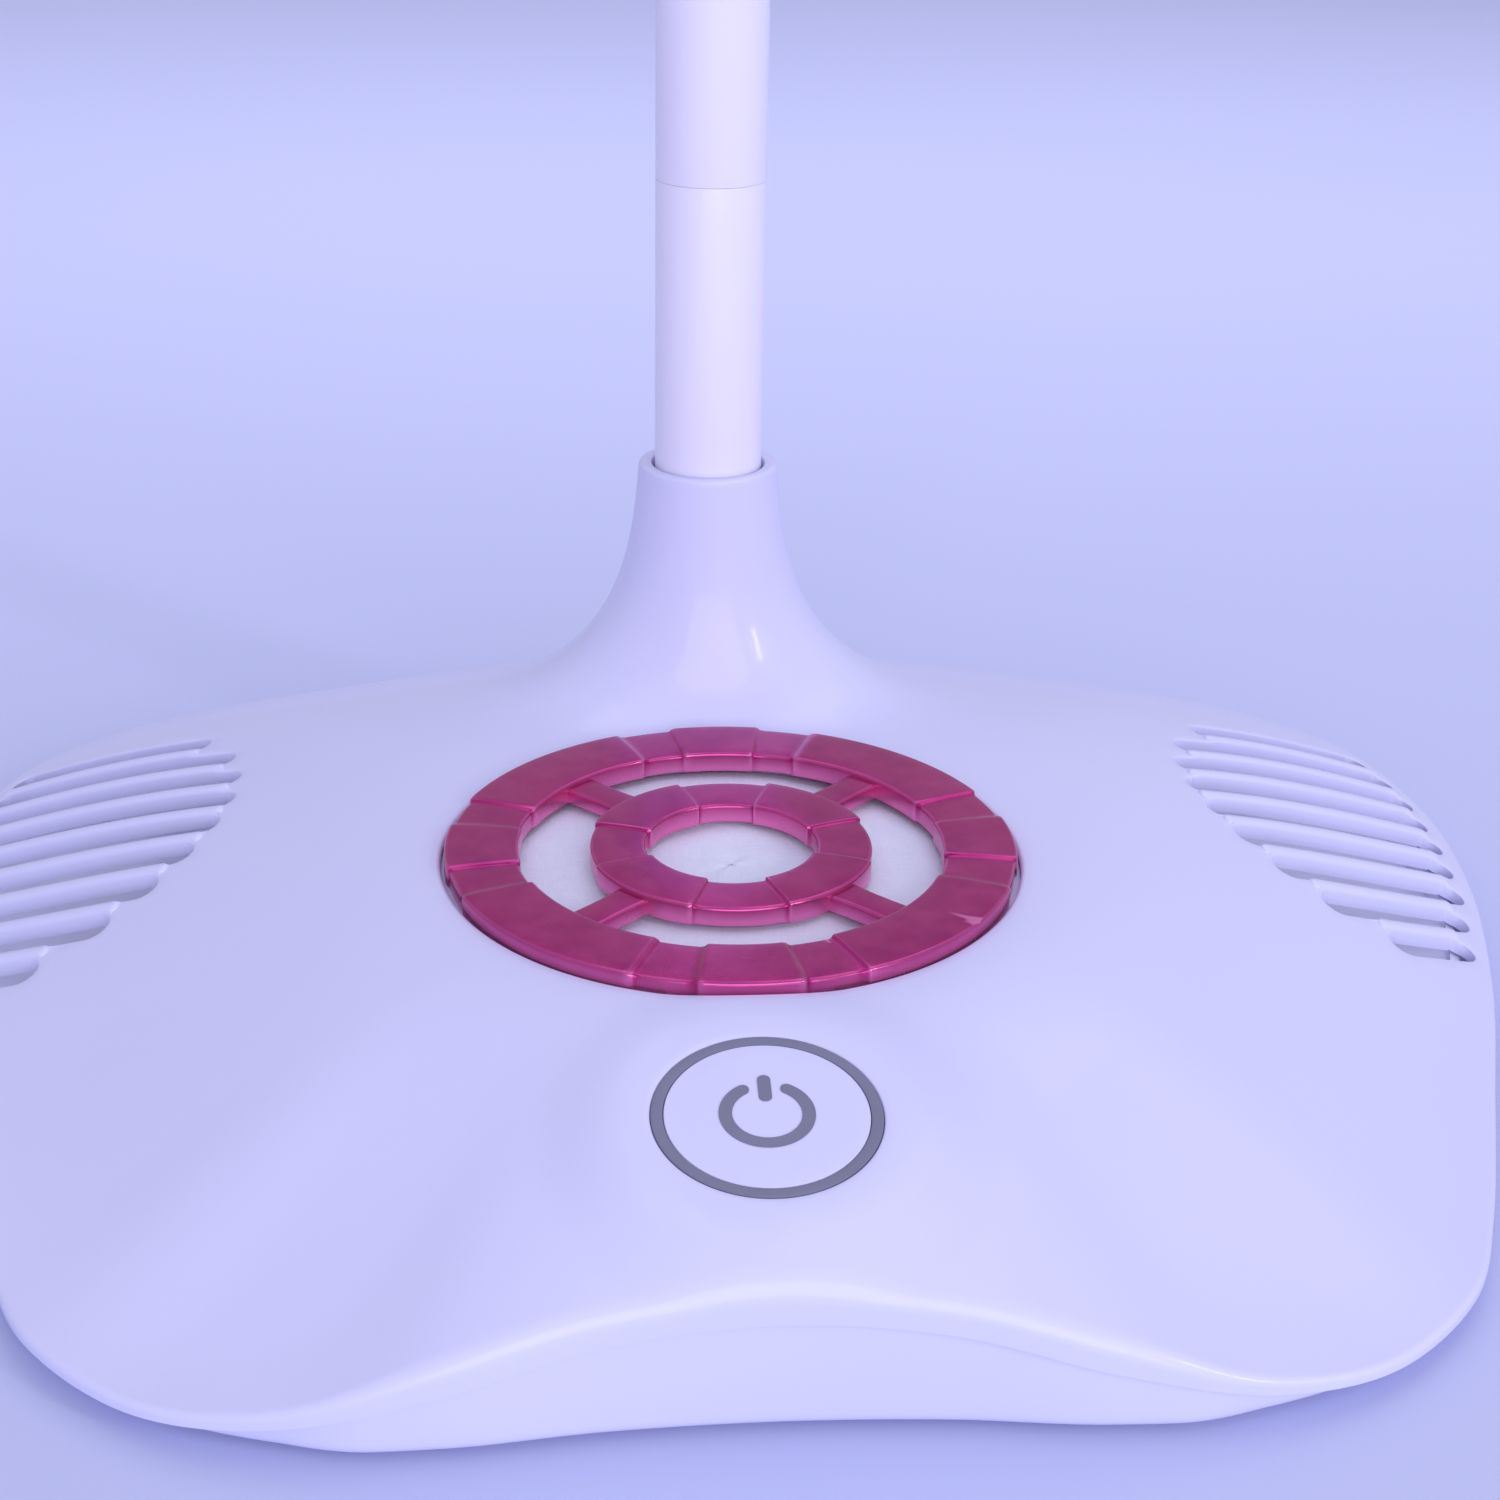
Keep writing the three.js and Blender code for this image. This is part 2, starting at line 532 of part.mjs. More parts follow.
const cupProfile = [[15.3, 9.8], [16.1, 9.8], [16.1, 20.4], [1.55, 20.4], [1.55, 19.6], [15.3, 19.6]];
addPart('rotor_cup', turned(cupProfile, 28), STEEL);
addPart('magnet_ring', ring(13.8, 15.1, 10.2, 19, 28), BLACK_PLASTIC);
addPart('motor_shaft', disc(1.5, 6.4, 22, 16), STEEL);
addPart('shaft_clip', ring(1.55, 3, 6.5, 7.1, 16), STEEL);
const tubeProfile = [[4.1, 5.8], [14, 5.8], [14, 7.3], [5.2, 7.3], [5.2, 19], [4.1, 19]];
addPart('bearing_tube', turned(tubeProfile, 24), BRASS);
addPart('bearing_lower', ring(1.56, 4, 7.5, 10.5, 20), STEEL);
addPart('bearing_upper', ring(1.56, 4, 15.8, 18.8, 20), STEEL);

const STATOR = { low: 10.8, high: 17.6, hub: 7.6, face: 13.2, tooth: 2.2 };
function makeStatorCore() {
  const core = solid(ring(5.3, STATOR.hub, STATOR.low, STATOR.high, 24));
  const teeth = [0, 90, 180, 270].flatMap((angle) => [
    solid(box(STATOR.hub - 1, STATOR.face - 1, -STATOR.tooth, STATOR.tooth, STATOR.low, STATOR.high)
      .rotateZ(radians(angle))),
    solid(sector(STATOR.face - 1.6, STATOR.face, angle, 70, STATOR.low, STATOR.high)),
  ]);
  return join(core, ...teeth);
}
addPart('stator_core', makeStatorCore(), STEEL);
[0, 90, 180, 270].forEach((angle, k) => {
  const outside = solid(box(8.2, 10.8, -3.7, 3.7, STATOR.low - 1.4, STATOR.high + 1.4));
  const half = STATOR.tooth + 0.15;
  const inside = solid(box(7, 13, -half, half, STATOR.low - 0.15, STATOR.high + 0.15));
  addPart(`stator_coil_${k + 1}`, cut(outside, inside), COPPER).rotation.z = radians(angle);
});

// Exhaust duct from the open side of the blower to one exhaust field: a floor and two walls under the shell.
// The side is +1 or -1.
function makeDuct(side) {
  const handed = (plan) => plan.map(([x, y]) => [side * x, y]);
  const outside = [[61, -31], [104, -27], [133, -12], [143.5, 28], [144.3, 64], [130, 82], [104, 74], [62, 34]];
  const inside = [[50, -29], [103.6, -25.2], [131.4, -10.6], [141.8, 28.4], [142.6, 63.4], [129.4, 80.2],
    [104.6, 72.2], [50, 26]];
  const room = join(solid(plate(handed(inside), FLOOR_Z + 1.7, 41)), solid(disc(60.3, 0, 50, 48)));
  return cut(solid(plate(handed(outside), FLOOR_Z + 0.1, 40)), room);
}

// Space under the top shell, with a little clearance.
function spaceUnder(clearance) {
  const loops = columns.map((column) => {
    const inside = column.reach - column.tuck - 3;
    const rows = [1, 0.8, 0.6, 0.4, 0.2, 0].map((t) => {
      const r = lerp(INNER_R, inside, t);
      return [r, topZ(column, r) - SKIN - clearance];
    });
    const profile = [[0, 2], [inside, 2], ...rows, [0, CROWN_Z - SKIN - clearance]];
    return profile.map(([r, z]) => onColumn(column, r, z));
  });
  return solid(loopBody(loops));
}
const space = spaceUnder(0.9);
addPart('exhaust_duct_right', makeDuct(1).intersect(space), PLAIN_WHITE);
addPart('exhaust_duct_left', makeDuct(-1).intersect(space), PLAIN_WHITE);

// ---------- Stem and its fixing ----------
const onStem = (geometry) => geometry.translate(0, STEM.y, 0);
const ballastHoles = [
  solid(onStem(disc(5.3, 0, 30, 24))),
  ...BALLAST_POSTS.map(([x, y]) => solid(disc(1.7, 0, 30, 12).translate(x, y, 0))),
];
const { halfX, yLow, yHigh, low: ballastLow, high: ballastHigh } = BALLAST;
const ballast = solid(box(-halfX, halfX, yLow, yHigh, ballastLow + 0.1, ballastHigh));
addPart('ballast_plate', cut(ballast, ...ballastHoles), STEEL);

const STEM_BORE = STEM.r - STEM.wall;
const IN_STEM = STEM_BORE - 0.15; // radius of what is pushed into the stem
addPart('stem_lower', onStem(ring(STEM_BORE, STEM.r, STEM.bottom, STEM.seam, 28)), WHITE);
addPart('stem_upper', onStem(ring(STEM_BORE, STEM.r, STEM.seam + 0.3, STEM.top, 28)), WHITE);
addPart('stem_joiner', onStem(ring(7.6, IN_STEM, STEM.seam - 20, STEM.seam + 20, 16)), STEEL);
addPart('stem_end_plug', onStem(ring(5.1, IN_STEM, 16, 30, 16)), STEEL);
addPart('threaded_nipple', onStem(ring(3.6, 5, 4.4, 29, 16)), BRASS);
addPart('friction_washer', onStem(ring(5.3, STEM.r - 0.2, BALLAST.high + 0.1, STEM.bottom - 0.1, 16)), RUBBER);
const NUT_R = 7.6;
const hexagon = [0, 60, 120, 180, 240, 300].map(radians).map((a) => [NUT_R * Math.cos(a), NUT_R * Math.sin(a)]);
const nut = cut(solid(plate(hexagon, 4.8, BALLAST.low)), solid(disc(5.1, 0, 20, 16)));
addPart('stem_nut', onStem(geometryOf(nut)), STEEL);

// ---------- Lamp head ----------
const HEAD_MIDDLE = (LAMP.front + LAMP.rear) / 2;

// Plan of the lamp head: a rounded slab, inset on all sides.
function headPlan(inset) {
  const w = LAMP.halfWidth - inset;
  const l = (LAMP.rear - LAMP.front) / 2 - inset;
  const c = LAMP.corner - inset;
  const points = [];
  [[1, 1, 0], [-1, 1, 90], [-1, -1, 180], [1, -1, 270]].forEach(([sx, sy, from]) => {
    for (let k = 0; k <= 5; k++) {
      const a = radians(from + (90 * k) / 5);
      points.push([sx * (w - c) + c * Math.cos(a), HEAD_MIDDLE + sy * (l - c) + c * Math.sin(a)]);
    }
  });
  return points;
}

const { gapHalf, bottom: headBottom, top: headTop } = LAMP;
const hingeGap = solid(box(-gapHalf, gapHalf, STEM.y - 28, LAMP.rear + 2, headBottom - 3, headTop + 3));
const toHinge = (geometry) => geometry.rotateY(Math.PI / 2).translate(0, STEM.y, LAMP.axisZ);
const acrossPin = (r, half) => toHinge(disc(r, -half, half, 16));

function makeLampCover() {
  const outside = join(solid(plate(headPlan(0), 337.2, 345.6)), solid(plate(headPlan(2), 345, LAMP.top)));
  const pocket = solid(plate(headPlan(2.2), 330, 343.6));
  const keep = solid(box(-14, 14, STEM.y - 31, LAMP.rear + 2, 335, 345));
  const room = pocket.subtract(keep);
  return cut(outside, room, hingeGap, solid(acrossPin(2.1, 12)));
}
addPart('lamp_cover', makeLampCover(), WHITE);

function makeBezel() {
  const outside = solid(plate(headPlan(0.4), LAMP.bottom, 337));
  const window = solid(plate([[-21, LAMP.front + 12], [21, LAMP.front + 12], [21, 44], [-21, 44]], 330, 340));
  const pinRoom = solid(box(-14.4, 14.4, STEM.y - 6, STEM.y + 6, 334.8, 340));
  return cut(outside, window, hingeGap, pinRoom);
}
addPart('lamp_bezel', makeBezel(), WHITE);

function makeDiffuser() {
  const pane = solid(box(-20.8, 20.8, LAMP.front + 12.2, 43.8, 334.3, 336.2));
  const lip = solid(box(-22.4, 22.4, LAMP.front + 11.4, 45.6, 337.2, 338.4));
  const walls = solid(box(-20.8, 20.8, LAMP.front + 12.2, 43.8, 336, 337.5));
  return join(pane, walls, lip);
}
addPart('lamp_diffuser', makeDiffuser(), PLAIN_WHITE);

function makeLedBoard() {
  const plane = solid(box(-22, 22, LAMP.front + 11, 44.5, 341.2, 342.8));
  const places = [0, 1, 2, 3, 4, 5].map((k) => LAMP.front + 21 * (k + 1));
  const chips = [-10, 10].flatMap((x) => {
    return places.map((y) => solid(box(x - 1.4, x + 1.4, y, y + 2.8, 340.6, 341.5)));
  });
  return join(plane, ...chips);
}
addPart('led_board', makeLedBoard(), BOARD);

addPart('hinge_pin', acrossPin(2, 11.6), STEEL);
function makeHingeBlock() {
  const plug = solid(onStem(ring(4, IN_STEM, 296, STEM.top + 1, 16)));
  const collar = solid(onStem(disc(STEM.r, STEM.top + 0.2, STEM.top + 2, 28)));
  const tongue = join(
    solid(box(-4, 4, STEM.y - 8, STEM.y + 8, STEM.top + 1, LAMP.axisZ)),
    solid(toHinge(disc(8, -4, 4, 32))),
  );
  return cut(join(plug, collar, tongue), solid(acrossPin(2.06, 12)));
}
addPart('hinge_block', makeHingeBlock(), WHITE);

// ---------- Inlet and leads ----------
function makeInlet() {
  const body = [[3.2, -9], [4.1, -9], [4.1, 0], [3.2, 0]];
  const barrel = join(solid(turned(body, 24)), solid(disc(4.1, -11, -9, 24)), solid(disc(1, -10, -2, 12)));
  return geometryOf(barrel).rotateX(-Math.PI / 2).translate(INLET.x, 106.2, INLET.z);
}
addPart('dc_inlet', makeInlet(), BLACK_PLASTIC);
addPart('lamp_lead', onStem(disc(1.6, 5, 315, 8)), BLACK_PLASTIC);
const motorRoute = [[-12.5, -3, 8.3], [-22, -9, 7.3], [-40, -22, 7], [-54, -34, 7], [-50, -50, 8],
  [-34, -64, 10.6], [-16, -70, 13.2], [-11, -71.6, 15.9]];
addPart('motor_lead', wire(motorRoute, 0.9, 20, 3), BLACK_PLASTIC);

export default part;
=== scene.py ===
import math

import bmesh
import bpy
import numpy as np
from mathutils import Matrix, Vector
from mathutils.geometry import delaunay_2d_cdt


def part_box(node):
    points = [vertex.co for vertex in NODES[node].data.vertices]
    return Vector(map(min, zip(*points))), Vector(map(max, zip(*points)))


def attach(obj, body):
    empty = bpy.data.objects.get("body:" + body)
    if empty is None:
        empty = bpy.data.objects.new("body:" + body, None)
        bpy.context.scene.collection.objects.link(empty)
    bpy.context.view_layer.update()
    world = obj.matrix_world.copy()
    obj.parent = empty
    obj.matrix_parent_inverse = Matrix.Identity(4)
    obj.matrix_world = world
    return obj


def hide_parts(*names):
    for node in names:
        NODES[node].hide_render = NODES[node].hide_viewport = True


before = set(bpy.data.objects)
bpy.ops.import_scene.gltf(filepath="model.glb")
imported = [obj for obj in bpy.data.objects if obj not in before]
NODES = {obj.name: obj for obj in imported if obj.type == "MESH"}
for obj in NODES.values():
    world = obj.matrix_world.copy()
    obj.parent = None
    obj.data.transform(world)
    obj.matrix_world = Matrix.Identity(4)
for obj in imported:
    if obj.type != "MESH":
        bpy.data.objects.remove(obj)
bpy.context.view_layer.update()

bpy.context.scene.view_settings.view_transform = "Standard"
MM = 0.001

# ---------------------------------------------------------------- camera
CAM_AT = Vector((-27.2, -367, 221.9)) * MM
PITCH, YAW, ROLL = (math.radians(a) for a in (24.22, 4.7, 1.12))


def make_camera():
    ahead = Vector((math.sin(YAW) * math.cos(PITCH), math.cos(YAW) * math.cos(PITCH), -math.sin(PITCH)))
    right = Vector((math.cos(YAW), -math.sin(YAW), 0))
    up = right.cross(ahead)
    across = right * math.cos(ROLL) + up * math.sin(ROLL)
    above = up * math.cos(ROLL) - right * math.sin(ROLL)
    data = bpy.data.cameras.new("camera")
    data.lens = 56.3
    data.sensor_width = 36
    data.clip_start = 0.01
    data.clip_end = 30
    cam = bpy.data.objects.new("camera", data)
    rows = [[across[k], above[k], -ahead[k], CAM_AT[k]] for k in range(3)] + [[0, 0, 0, 1]]
    cam.matrix_world = Matrix(rows)
    bpy.context.scene.collection.objects.link(cam)
    bpy.context.scene.camera = cam


make_camera()


# ---------------------------------------------------------------- materials
def new_material(name, **sockets):
    m = bpy.data.materials.new(name)
    m.use_nodes = True
    shader = m.node_tree.nodes["Principled BSDF"]
    for key, value in sockets.items():
        shader.inputs[key.replace("_", " ")].default_value = value
    return m, m.node_tree, shader


def node(tree, kind, **values):
    n = tree.nodes.new(kind)
    for key, value in values.items():
        if hasattr(n, key):
            setattr(n, key, value)
        else:
            n.inputs[key.replace("_", " ")].default_value = value
    return n


def place(tree, stretch=(1, 1, 1), turn=(0, 0, 0)):
    where = node(tree, "ShaderNodeTexCoord")
    spread = node(tree, "ShaderNodeMapping", Scale=stretch, Rotation=turn)
    tree.links.new(where.outputs["Object"], spread.inputs["Vector"])
    return spread.outputs["Vector"]


def noise(tree, vector, scale, detail=3.0, rough=0.5):
    n = node(tree, "ShaderNodeTexNoise", Scale=scale, Detail=detail, Roughness=rough)
    tree.links.new(vector, n.inputs["Vector"])
    return n.outputs["Fac"]


def mix_colours(tree, fac, a, b):
    m = node(tree, "ShaderNodeMix", data_type="RGBA")
    tree.links.new(fac, m.inputs["Factor"])
    for socket, value in ((6, a), (7, b)):
        if isinstance(value, bpy.types.NodeSocket):
            tree.links.new(value, m.inputs[socket])
        else:
            m.inputs[socket].default_value = (*value, 1)
    return m.outputs[2]


def ranged(tree, fac, low, high, start=0.3, stop=0.7):
    m = node(tree, "ShaderNodeMapRange")
    for key, value in (("From Min", start), ("From Max", stop), ("To Min", low), ("To Max", high)):
        m.inputs[key].default_value = value
    tree.links.new(fac, m.inputs["Value"])
    return m.outputs["Result"]


def bumped(tree, shader, heights):
    """Bumps on one another, from a list of (height socket, depth in metres, strength)."""
    last = None
    for height, depth, strength in heights:
        b = node(tree, "ShaderNodeBump", Strength=strength, Distance=depth)
        tree.links.new(height, b.inputs["Height"])
        if last is not None:
            tree.links.new(last, b.inputs["Normal"])
        last = b.outputs["Normal"]
    tree.links.new(last, shader.inputs["Normal"])


def grained(name, pale, dark, scale, rough, grain, depth, strength, **sockets):
    """Two close colours in soft clouds, roughness that varies, and a fine grain."""
    m, tree, shader = new_material(name, **sockets)
    vector = place(tree)
    clouds = ranged(tree, noise(tree, vector, scale), 0, 1)
    tree.links.new(mix_colours(tree, clouds, pale, dark), shader.inputs["Base Color"])
    smudge = noise(tree, vector, scale * 0.4, 5.0, 0.6)
    tree.links.new(ranged(tree, smudge, *rough), shader.inputs["Roughness"])
    bumped(tree, shader, [(noise(tree, vector, grain, 2.0), depth, strength)])
    return m


def make_white(name, pale, dark):
    """Moulded glossy white plastic: faint cloudy tone, a slight orange peel and a few fine rubs."""
    m, tree, shader = new_material(name, Coat_Weight=0.28, Coat_Roughness=0.10, IOR=1.46)
    vector = place(tree)
    clouds = ranged(tree, noise(tree, vector, 9, 2.0), 0, 1)
    tone = mix_colours(tree, clouds, pale, dark)
    tree.links.new(tone, shader.inputs["Base Color"])
    rubs = noise(tree, place(tree, (26, 420, 60), (0, 0, 0.5)), 1.0, 6.0, 0.7)
    smudge = noise(tree, vector, 28, 4.0, 0.6)
    both = node(tree, "ShaderNodeMath", operation="MAXIMUM")
    tree.links.new(ranged(tree, smudge, 0.34, 0.42), both.inputs[0])
    tree.links.new(ranged(tree, rubs, 0.3, 0.5, 0.62, 0.78), both.inputs[1])
    tree.links.new(both.outputs[0], shader.inputs["Roughness"])
    peel = noise(tree, vector, 260, 2.0)
    slow = noise(tree, vector, 22, 1.0)
    bumped(tree, shader, [(slow, 0.0003, 0.03), (peel, 0.00005, 0.10)])
    return m


def make_magenta():
    """Metallised magenta plastic: pearl mottle, darker crimson depth and painted highlights, the sharp edges
    coloured lighter where light would glint on them.
    """
    m, tree, shader = new_material("magenta_pearl", Metallic=0.7, Coat_Weight=0.25, Coat_Roughness=0.05,
                                    Specular_IOR_Level=0.08)
    vector = place(tree)
    mottle = ranged(tree, noise(tree, vector, 170, 4.0, 0.6), 0, 1, 0.35, 0.72)
    drift = ranged(tree, noise(tree, vector, 26, 2.0), 0, 1)
    deep = mix_colours(tree, drift, (0.44, 0.012, 0.155), (0.36, 0.010, 0.150))
    light = mix_colours(tree, mottle, deep, (0.50, 0.035, 0.20))
    geometry = node(tree, "ShaderNodeNewGeometry")
    # painted highlight: convex edges get a pale pink colour that stands in for light glinting on the bevels
    edge = ranged(tree, geometry.outputs["Pointiness"], 0, 1, 0.515, 0.58)
    tree.links.new(mix_colours(tree, edge, light, (0.80, 0.20, 0.46)), shader.inputs["Base Color"])
    tree.links.new(ranged(tree, noise(tree, vector, 90, 5.0, 0.7), 0.17, 0.30), shader.inputs["Roughness"])
    flake, wave = noise(tree, vector, 420, 4.0, 0.65), noise(tree, vector, 60, 1.0)
    bumped(tree, shader, [(flake, 0.0001, 0.14), (wave, 0.0005, 0.10)])
    return m


def make_felt():
    """Bonded non-woven fibre: two crossing sets of stretched fibres with sheen."""
    m, tree, shader = new_material("filter_felt", Sheen_Weight=0.15, Sheen_Roughness=0.6, Roughness=0.9)
    one = noise(tree, place(tree, (1600, 260, 900), (0, 0, 0.4)), 1.0, 4.0, 0.7)
    two = noise(tree, place(tree, (260, 1600, 900), (0, 0, 0.7)), 1.0, 4.0, 0.7)
    fibres = node(tree, "ShaderNodeMath", operation="MAXIMUM")
    tree.links.new(one, fibres.inputs[0])
    tree.links.new(two, fibres.inputs[1])
    shade = ranged(tree, fibres.outputs[0], 0, 1, 0.4, 0.8)
    colour = mix_colours(tree, shade, (0.80, 0.83, 0.985), (0.90, 0.92, 0.995))
    dust = ranged(tree, noise(tree, place(tree), 55, 5.0, 0.7), 0, 0.35, 0.55, 0.8)
    tree.links.new(mix_colours(tree, dust, colour, (0.80, 0.80, 0.95)), shader.inputs["Base Color"])
    bumped(tree, shader, [(fibres.outputs[0], 0.0004, 0.6)])
    return m


def make_brushed(name, pale, dark, along=(1, 1, 0.02), rough=(0.25, 0.42)):
    m, tree, shader = new_material(name, Metallic=1.0)
    strokes = noise(tree, place(tree, tuple(1800 * a for a in along)), 1.0, 4.0, 0.6)
    tree.links.new(mix_colours(tree, ranged(tree, strokes, 0, 1), pale, dark), shader.inputs["Base Color"])
    tree.links.new(ranged(tree, strokes, *rough), shader.inputs["Roughness"])
    bumped(tree, shader, [(strokes, 0.00003, 0.4)])
    return m


def make_winding():
    m, tree, shader = new_material("copper_winding", Metallic=0.9, Roughness=0.32)
    wave = node(tree, "ShaderNodeTexWave", bands_direction="Z", Scale=900.0, Distortion=0.3)
    tree.links.new(place(tree), wave.inputs["Vector"])
    turns = wave.outputs["Fac"]
    copper = mix_colours(tree, turns, (0.32, 0.09, 0.03), (0.72, 0.29, 0.12))
    tree.links.new(copper, shader.inputs["Base Color"])
    bumped(tree, shader, [(turns, 0.0002, 0.8)])
    return m


def make_board():
    """Green solder mask with brighter tracks on a fine grid."""
    m, tree, shader = new_material("circuit_board", Coat_Weight=0.4, Roughness=0.4)
    cells = node(tree, "ShaderNodeTexVoronoi", distance="CHEBYCHEV", feature="DISTANCE_TO_EDGE",
                 Scale=260.0)
    cells.inputs["Randomness"].default_value = 0.7
    tree.links.new(place(tree), cells.inputs["Vector"])
    tracks = ranged(tree, cells.outputs["Distance"], 1, 0, 0.04, 0.10)
    mask = mix_colours(tree, tracks, (0.012, 0.10, 0.045), (0.03, 0.22, 0.09))
    tree.links.new(mask, shader.inputs["Base Color"])
    bumped(tree, shader, [(tracks, 0.00006, 0.6)])
    return m


def make_diffuser():
    m, tree, shader = new_material("lamp_milk", Transmission_Weight=0.25, IOR=1.49, Coat_Weight=0.1)
    vector = place(tree)
    prism = node(tree, "ShaderNodeTexVoronoi", feature="SMOOTH_F1", Scale=700.0)
    prism.inputs["Randomness"].default_value = 0.1
    tree.links.new(vector, prism.inputs["Vector"])
    clouds = ranged(tree, noise(tree, vector, 30), 0, 1)
    tone = mix_colours(tree, clouds, (0.90, 0.90, 0.97), (0.84, 0.84, 0.94))
    tree.links.new(tone, shader.inputs["Base Color"])
    tree.links.new(ranged(tree, noise(tree, vector, 80), 0.4, 0.5), shader.inputs["Roughness"])
    bumped(tree, shader, [(prism.outputs["Distance"], 0.0002, 0.5)])
    return m


WHITE = make_white("white_gloss", (0.735, 0.73, 0.985), (0.705, 0.705, 0.965))
# the stem tube's white is paler and pinker than the shell's: partly its own white paint, partly painted
# light for the brighter light that falls on the stem
TUBE_PAINTED_LIGHT = make_white("tube_white_painted_light", (0.90, 0.86, 0.99), (0.86, 0.825, 0.98))
MAGENTA = make_magenta()
FELT = make_felt()
PRINT = grained("grey_print", (0.205, 0.210, 0.300), (0.185, 0.190, 0.275),
                80, (0.42, 0.55), 1500, 0.00004, 0.35)
INNER = grained("inner_white", (0.84, 0.84, 0.99), (0.80, 0.80, 0.98),
                40, (0.42, 0.56), 700, 0.00006, 0.3)
BLACK = grained("black_plastic", (0.020, 0.020, 0.024), (0.032, 0.032, 0.036),
                60, (0.38, 0.55), 1100, 0.00006, 0.4)
SHEATH = grained("lead_sheath", (0.018, 0.018, 0.02), (0.028, 0.028, 0.03),
                 90, (0.5, 0.65), 1300, 0.00006, 0.4)
RUBBER = grained("foot_rubber", (0.045, 0.045, 0.05), (0.065, 0.065, 0.072),
                 70, (0.7, 0.85), 900, 0.0001, 0.6, Sheen_Weight=0.2)
CHIP = grained("chip_black", (0.014, 0.014, 0.015), (0.022, 0.022, 0.024),
               200, (0.5, 0.6), 2200, 0.00003, 0.4)
MAGNET = grained("ferrite", (0.035, 0.033, 0.032), (0.055, 0.052, 0.05),
                 150, (0.45, 0.6), 1600, 0.00005, 0.4, Metallic=0.3)
STEEL = make_brushed("plain_steel", (0.62, 0.62, 0.65), (0.48, 0.48, 0.51))
LAMINATED = make_brushed("laminated_steel", (0.40, 0.40, 0.42), (0.25, 0.25, 0.27), (0.02, 0.02, 1.0))
BRASS = make_brushed("turned_brass", (0.78, 0.60, 0.30), (0.66, 0.48, 0.22), (0.02, 0.02, 1.0))
WINDING = make_winding()
BOARD = make_board()
MILK = make_diffuser()


# ---------------------------------------------------------------- mesh tools
def link(ob, body, material, replaces=(), slot=None):
    bpy.context.scene.collection.objects.link(ob)
    ob.data.materials.clear()
    ob.data.materials.append(material)
    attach(ob, body)
    if replaces:
        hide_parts(*replaces)
    return ob


def finish_mesh(bm, name, sharp=35, weld=0.0000015):
    bmesh.ops.remove_doubles(bm, verts=bm.verts, dist=weld)
    bmesh.ops.dissolve_degenerate(bm, edges=bm.edges, dist=1e-7)
    bmesh.ops.recalc_face_normals(bm, faces=bm.faces)
    mesh = bpy.data.meshes.new(name)
    bm.to_mesh(mesh)
    bm.free()
    for p in mesh.polygons:
        p.use_smooth = True
    mesh.set_sharp_from_angle(angle=math.radians(sharp))
    return mesh


def add_faces(bm, points, faces):
    """Adds points in millimetres and faces by index to a bmesh."""
    verts = [bm.verts.new((p[0] * MM, p[1] * MM, p[2] * MM)) for p in points]
    for f in faces:
        corners = [verts[i] for i in f]
        if len(set(corners)) == len(corners):
            try:
                bm.faces.new(corners)
            except ValueError:
                pass


def add_loft(bm, loops, wrap=True, caps=(False, False)):
    """Skin through closed loops of the same number of points; wrap joins the last loop to the first."""
    n = len(loops[0])
    points = [p for loop in loops for p in loop]
    faces = []
    rows = len(loops) if wrap else len(loops) - 1
    for k in range(rows):
        a, b = k * n, ((k + 1) % len(loops)) * n
        faces += [(a + i, a + (i + 1) % n, b + (i + 1) % n, b + i) for i in range(n)]
    if caps[0]:
        faces.append(tuple(range(n))[::-1])
    if caps[1]:
        faces.append(tuple(range((len(loops) - 1) * n, len(loops) * n)))
    add_faces(bm, points, faces)


def fillet(points, radii, steps=4, closed=True):
    """Rounds the corners of a 2D polygon. radii is one number or one for each corner."""
    n = len(points)
    radii = [radii] * n if isinstance(radii, (int, float)) else radii
    out = []
    for k in range(n):
        p = np.array(points[k], float)
        if radii[k] <= 0 or (not closed and k in (0, n - 1)):
            out.append(tuple(p))
            continue
        before = np.array(points[k - 1], float) - p
        after = np.array(points[(k + 1) % n], float) - p
        lb, la = np.linalg.norm(before), np.linalg.norm(after)
        reach = min(radii[k], lb * 0.49, la * 0.49)
        a, b = p + before / lb * reach, p + after / la * reach
        for i in range(steps + 1):
            t = i / steps
            out.append(tuple((1 - t) ** 2 * a + 2 * t * (1 - t) * p + t * t * b))
    return out


def lathe_loops(profile, segments, at=(0, 0, 0)):
    loops = []
    for k in range(segments):
        a = 2 * math.pi * k / segments
        loops.append([(at[0] + r * math.cos(a), at[1] + r * math.sin(a), at[2] + z) for r, z in profile])
    return loops


def add_rod(bm, radius, low, high, segments, at=(0, 0, 0)):
    add_loft(bm, lathe_loops([(0, low), (radius, low), (radius, high), (0, high)], segments, at))


def lathe(name, profile, body, material, at=(0, 0, 0), segments=96, turn=None, **more):
    """Turned piece about its own Z from a closed profile of (radius, height) in millimetres."""
    bm = bmesh.new()
    add_loft(bm, lathe_loops(profile, segments, (0, 0, 0) if turn else at))
    if turn:
        bmesh.ops.transform(bm, matrix=turn, verts=bm.verts)
    return link(bpy.data.objects.new(name, finish_mesh(bm, name)), body, material, **more)


def apply_modifiers(ob):
    graph = bpy.context.evaluated_depsgraph_get()
    mesh = bpy.data.meshes.new_from_object(ob.evaluated_get(graph))
    ob.modifiers.clear()
    ob.data = mesh


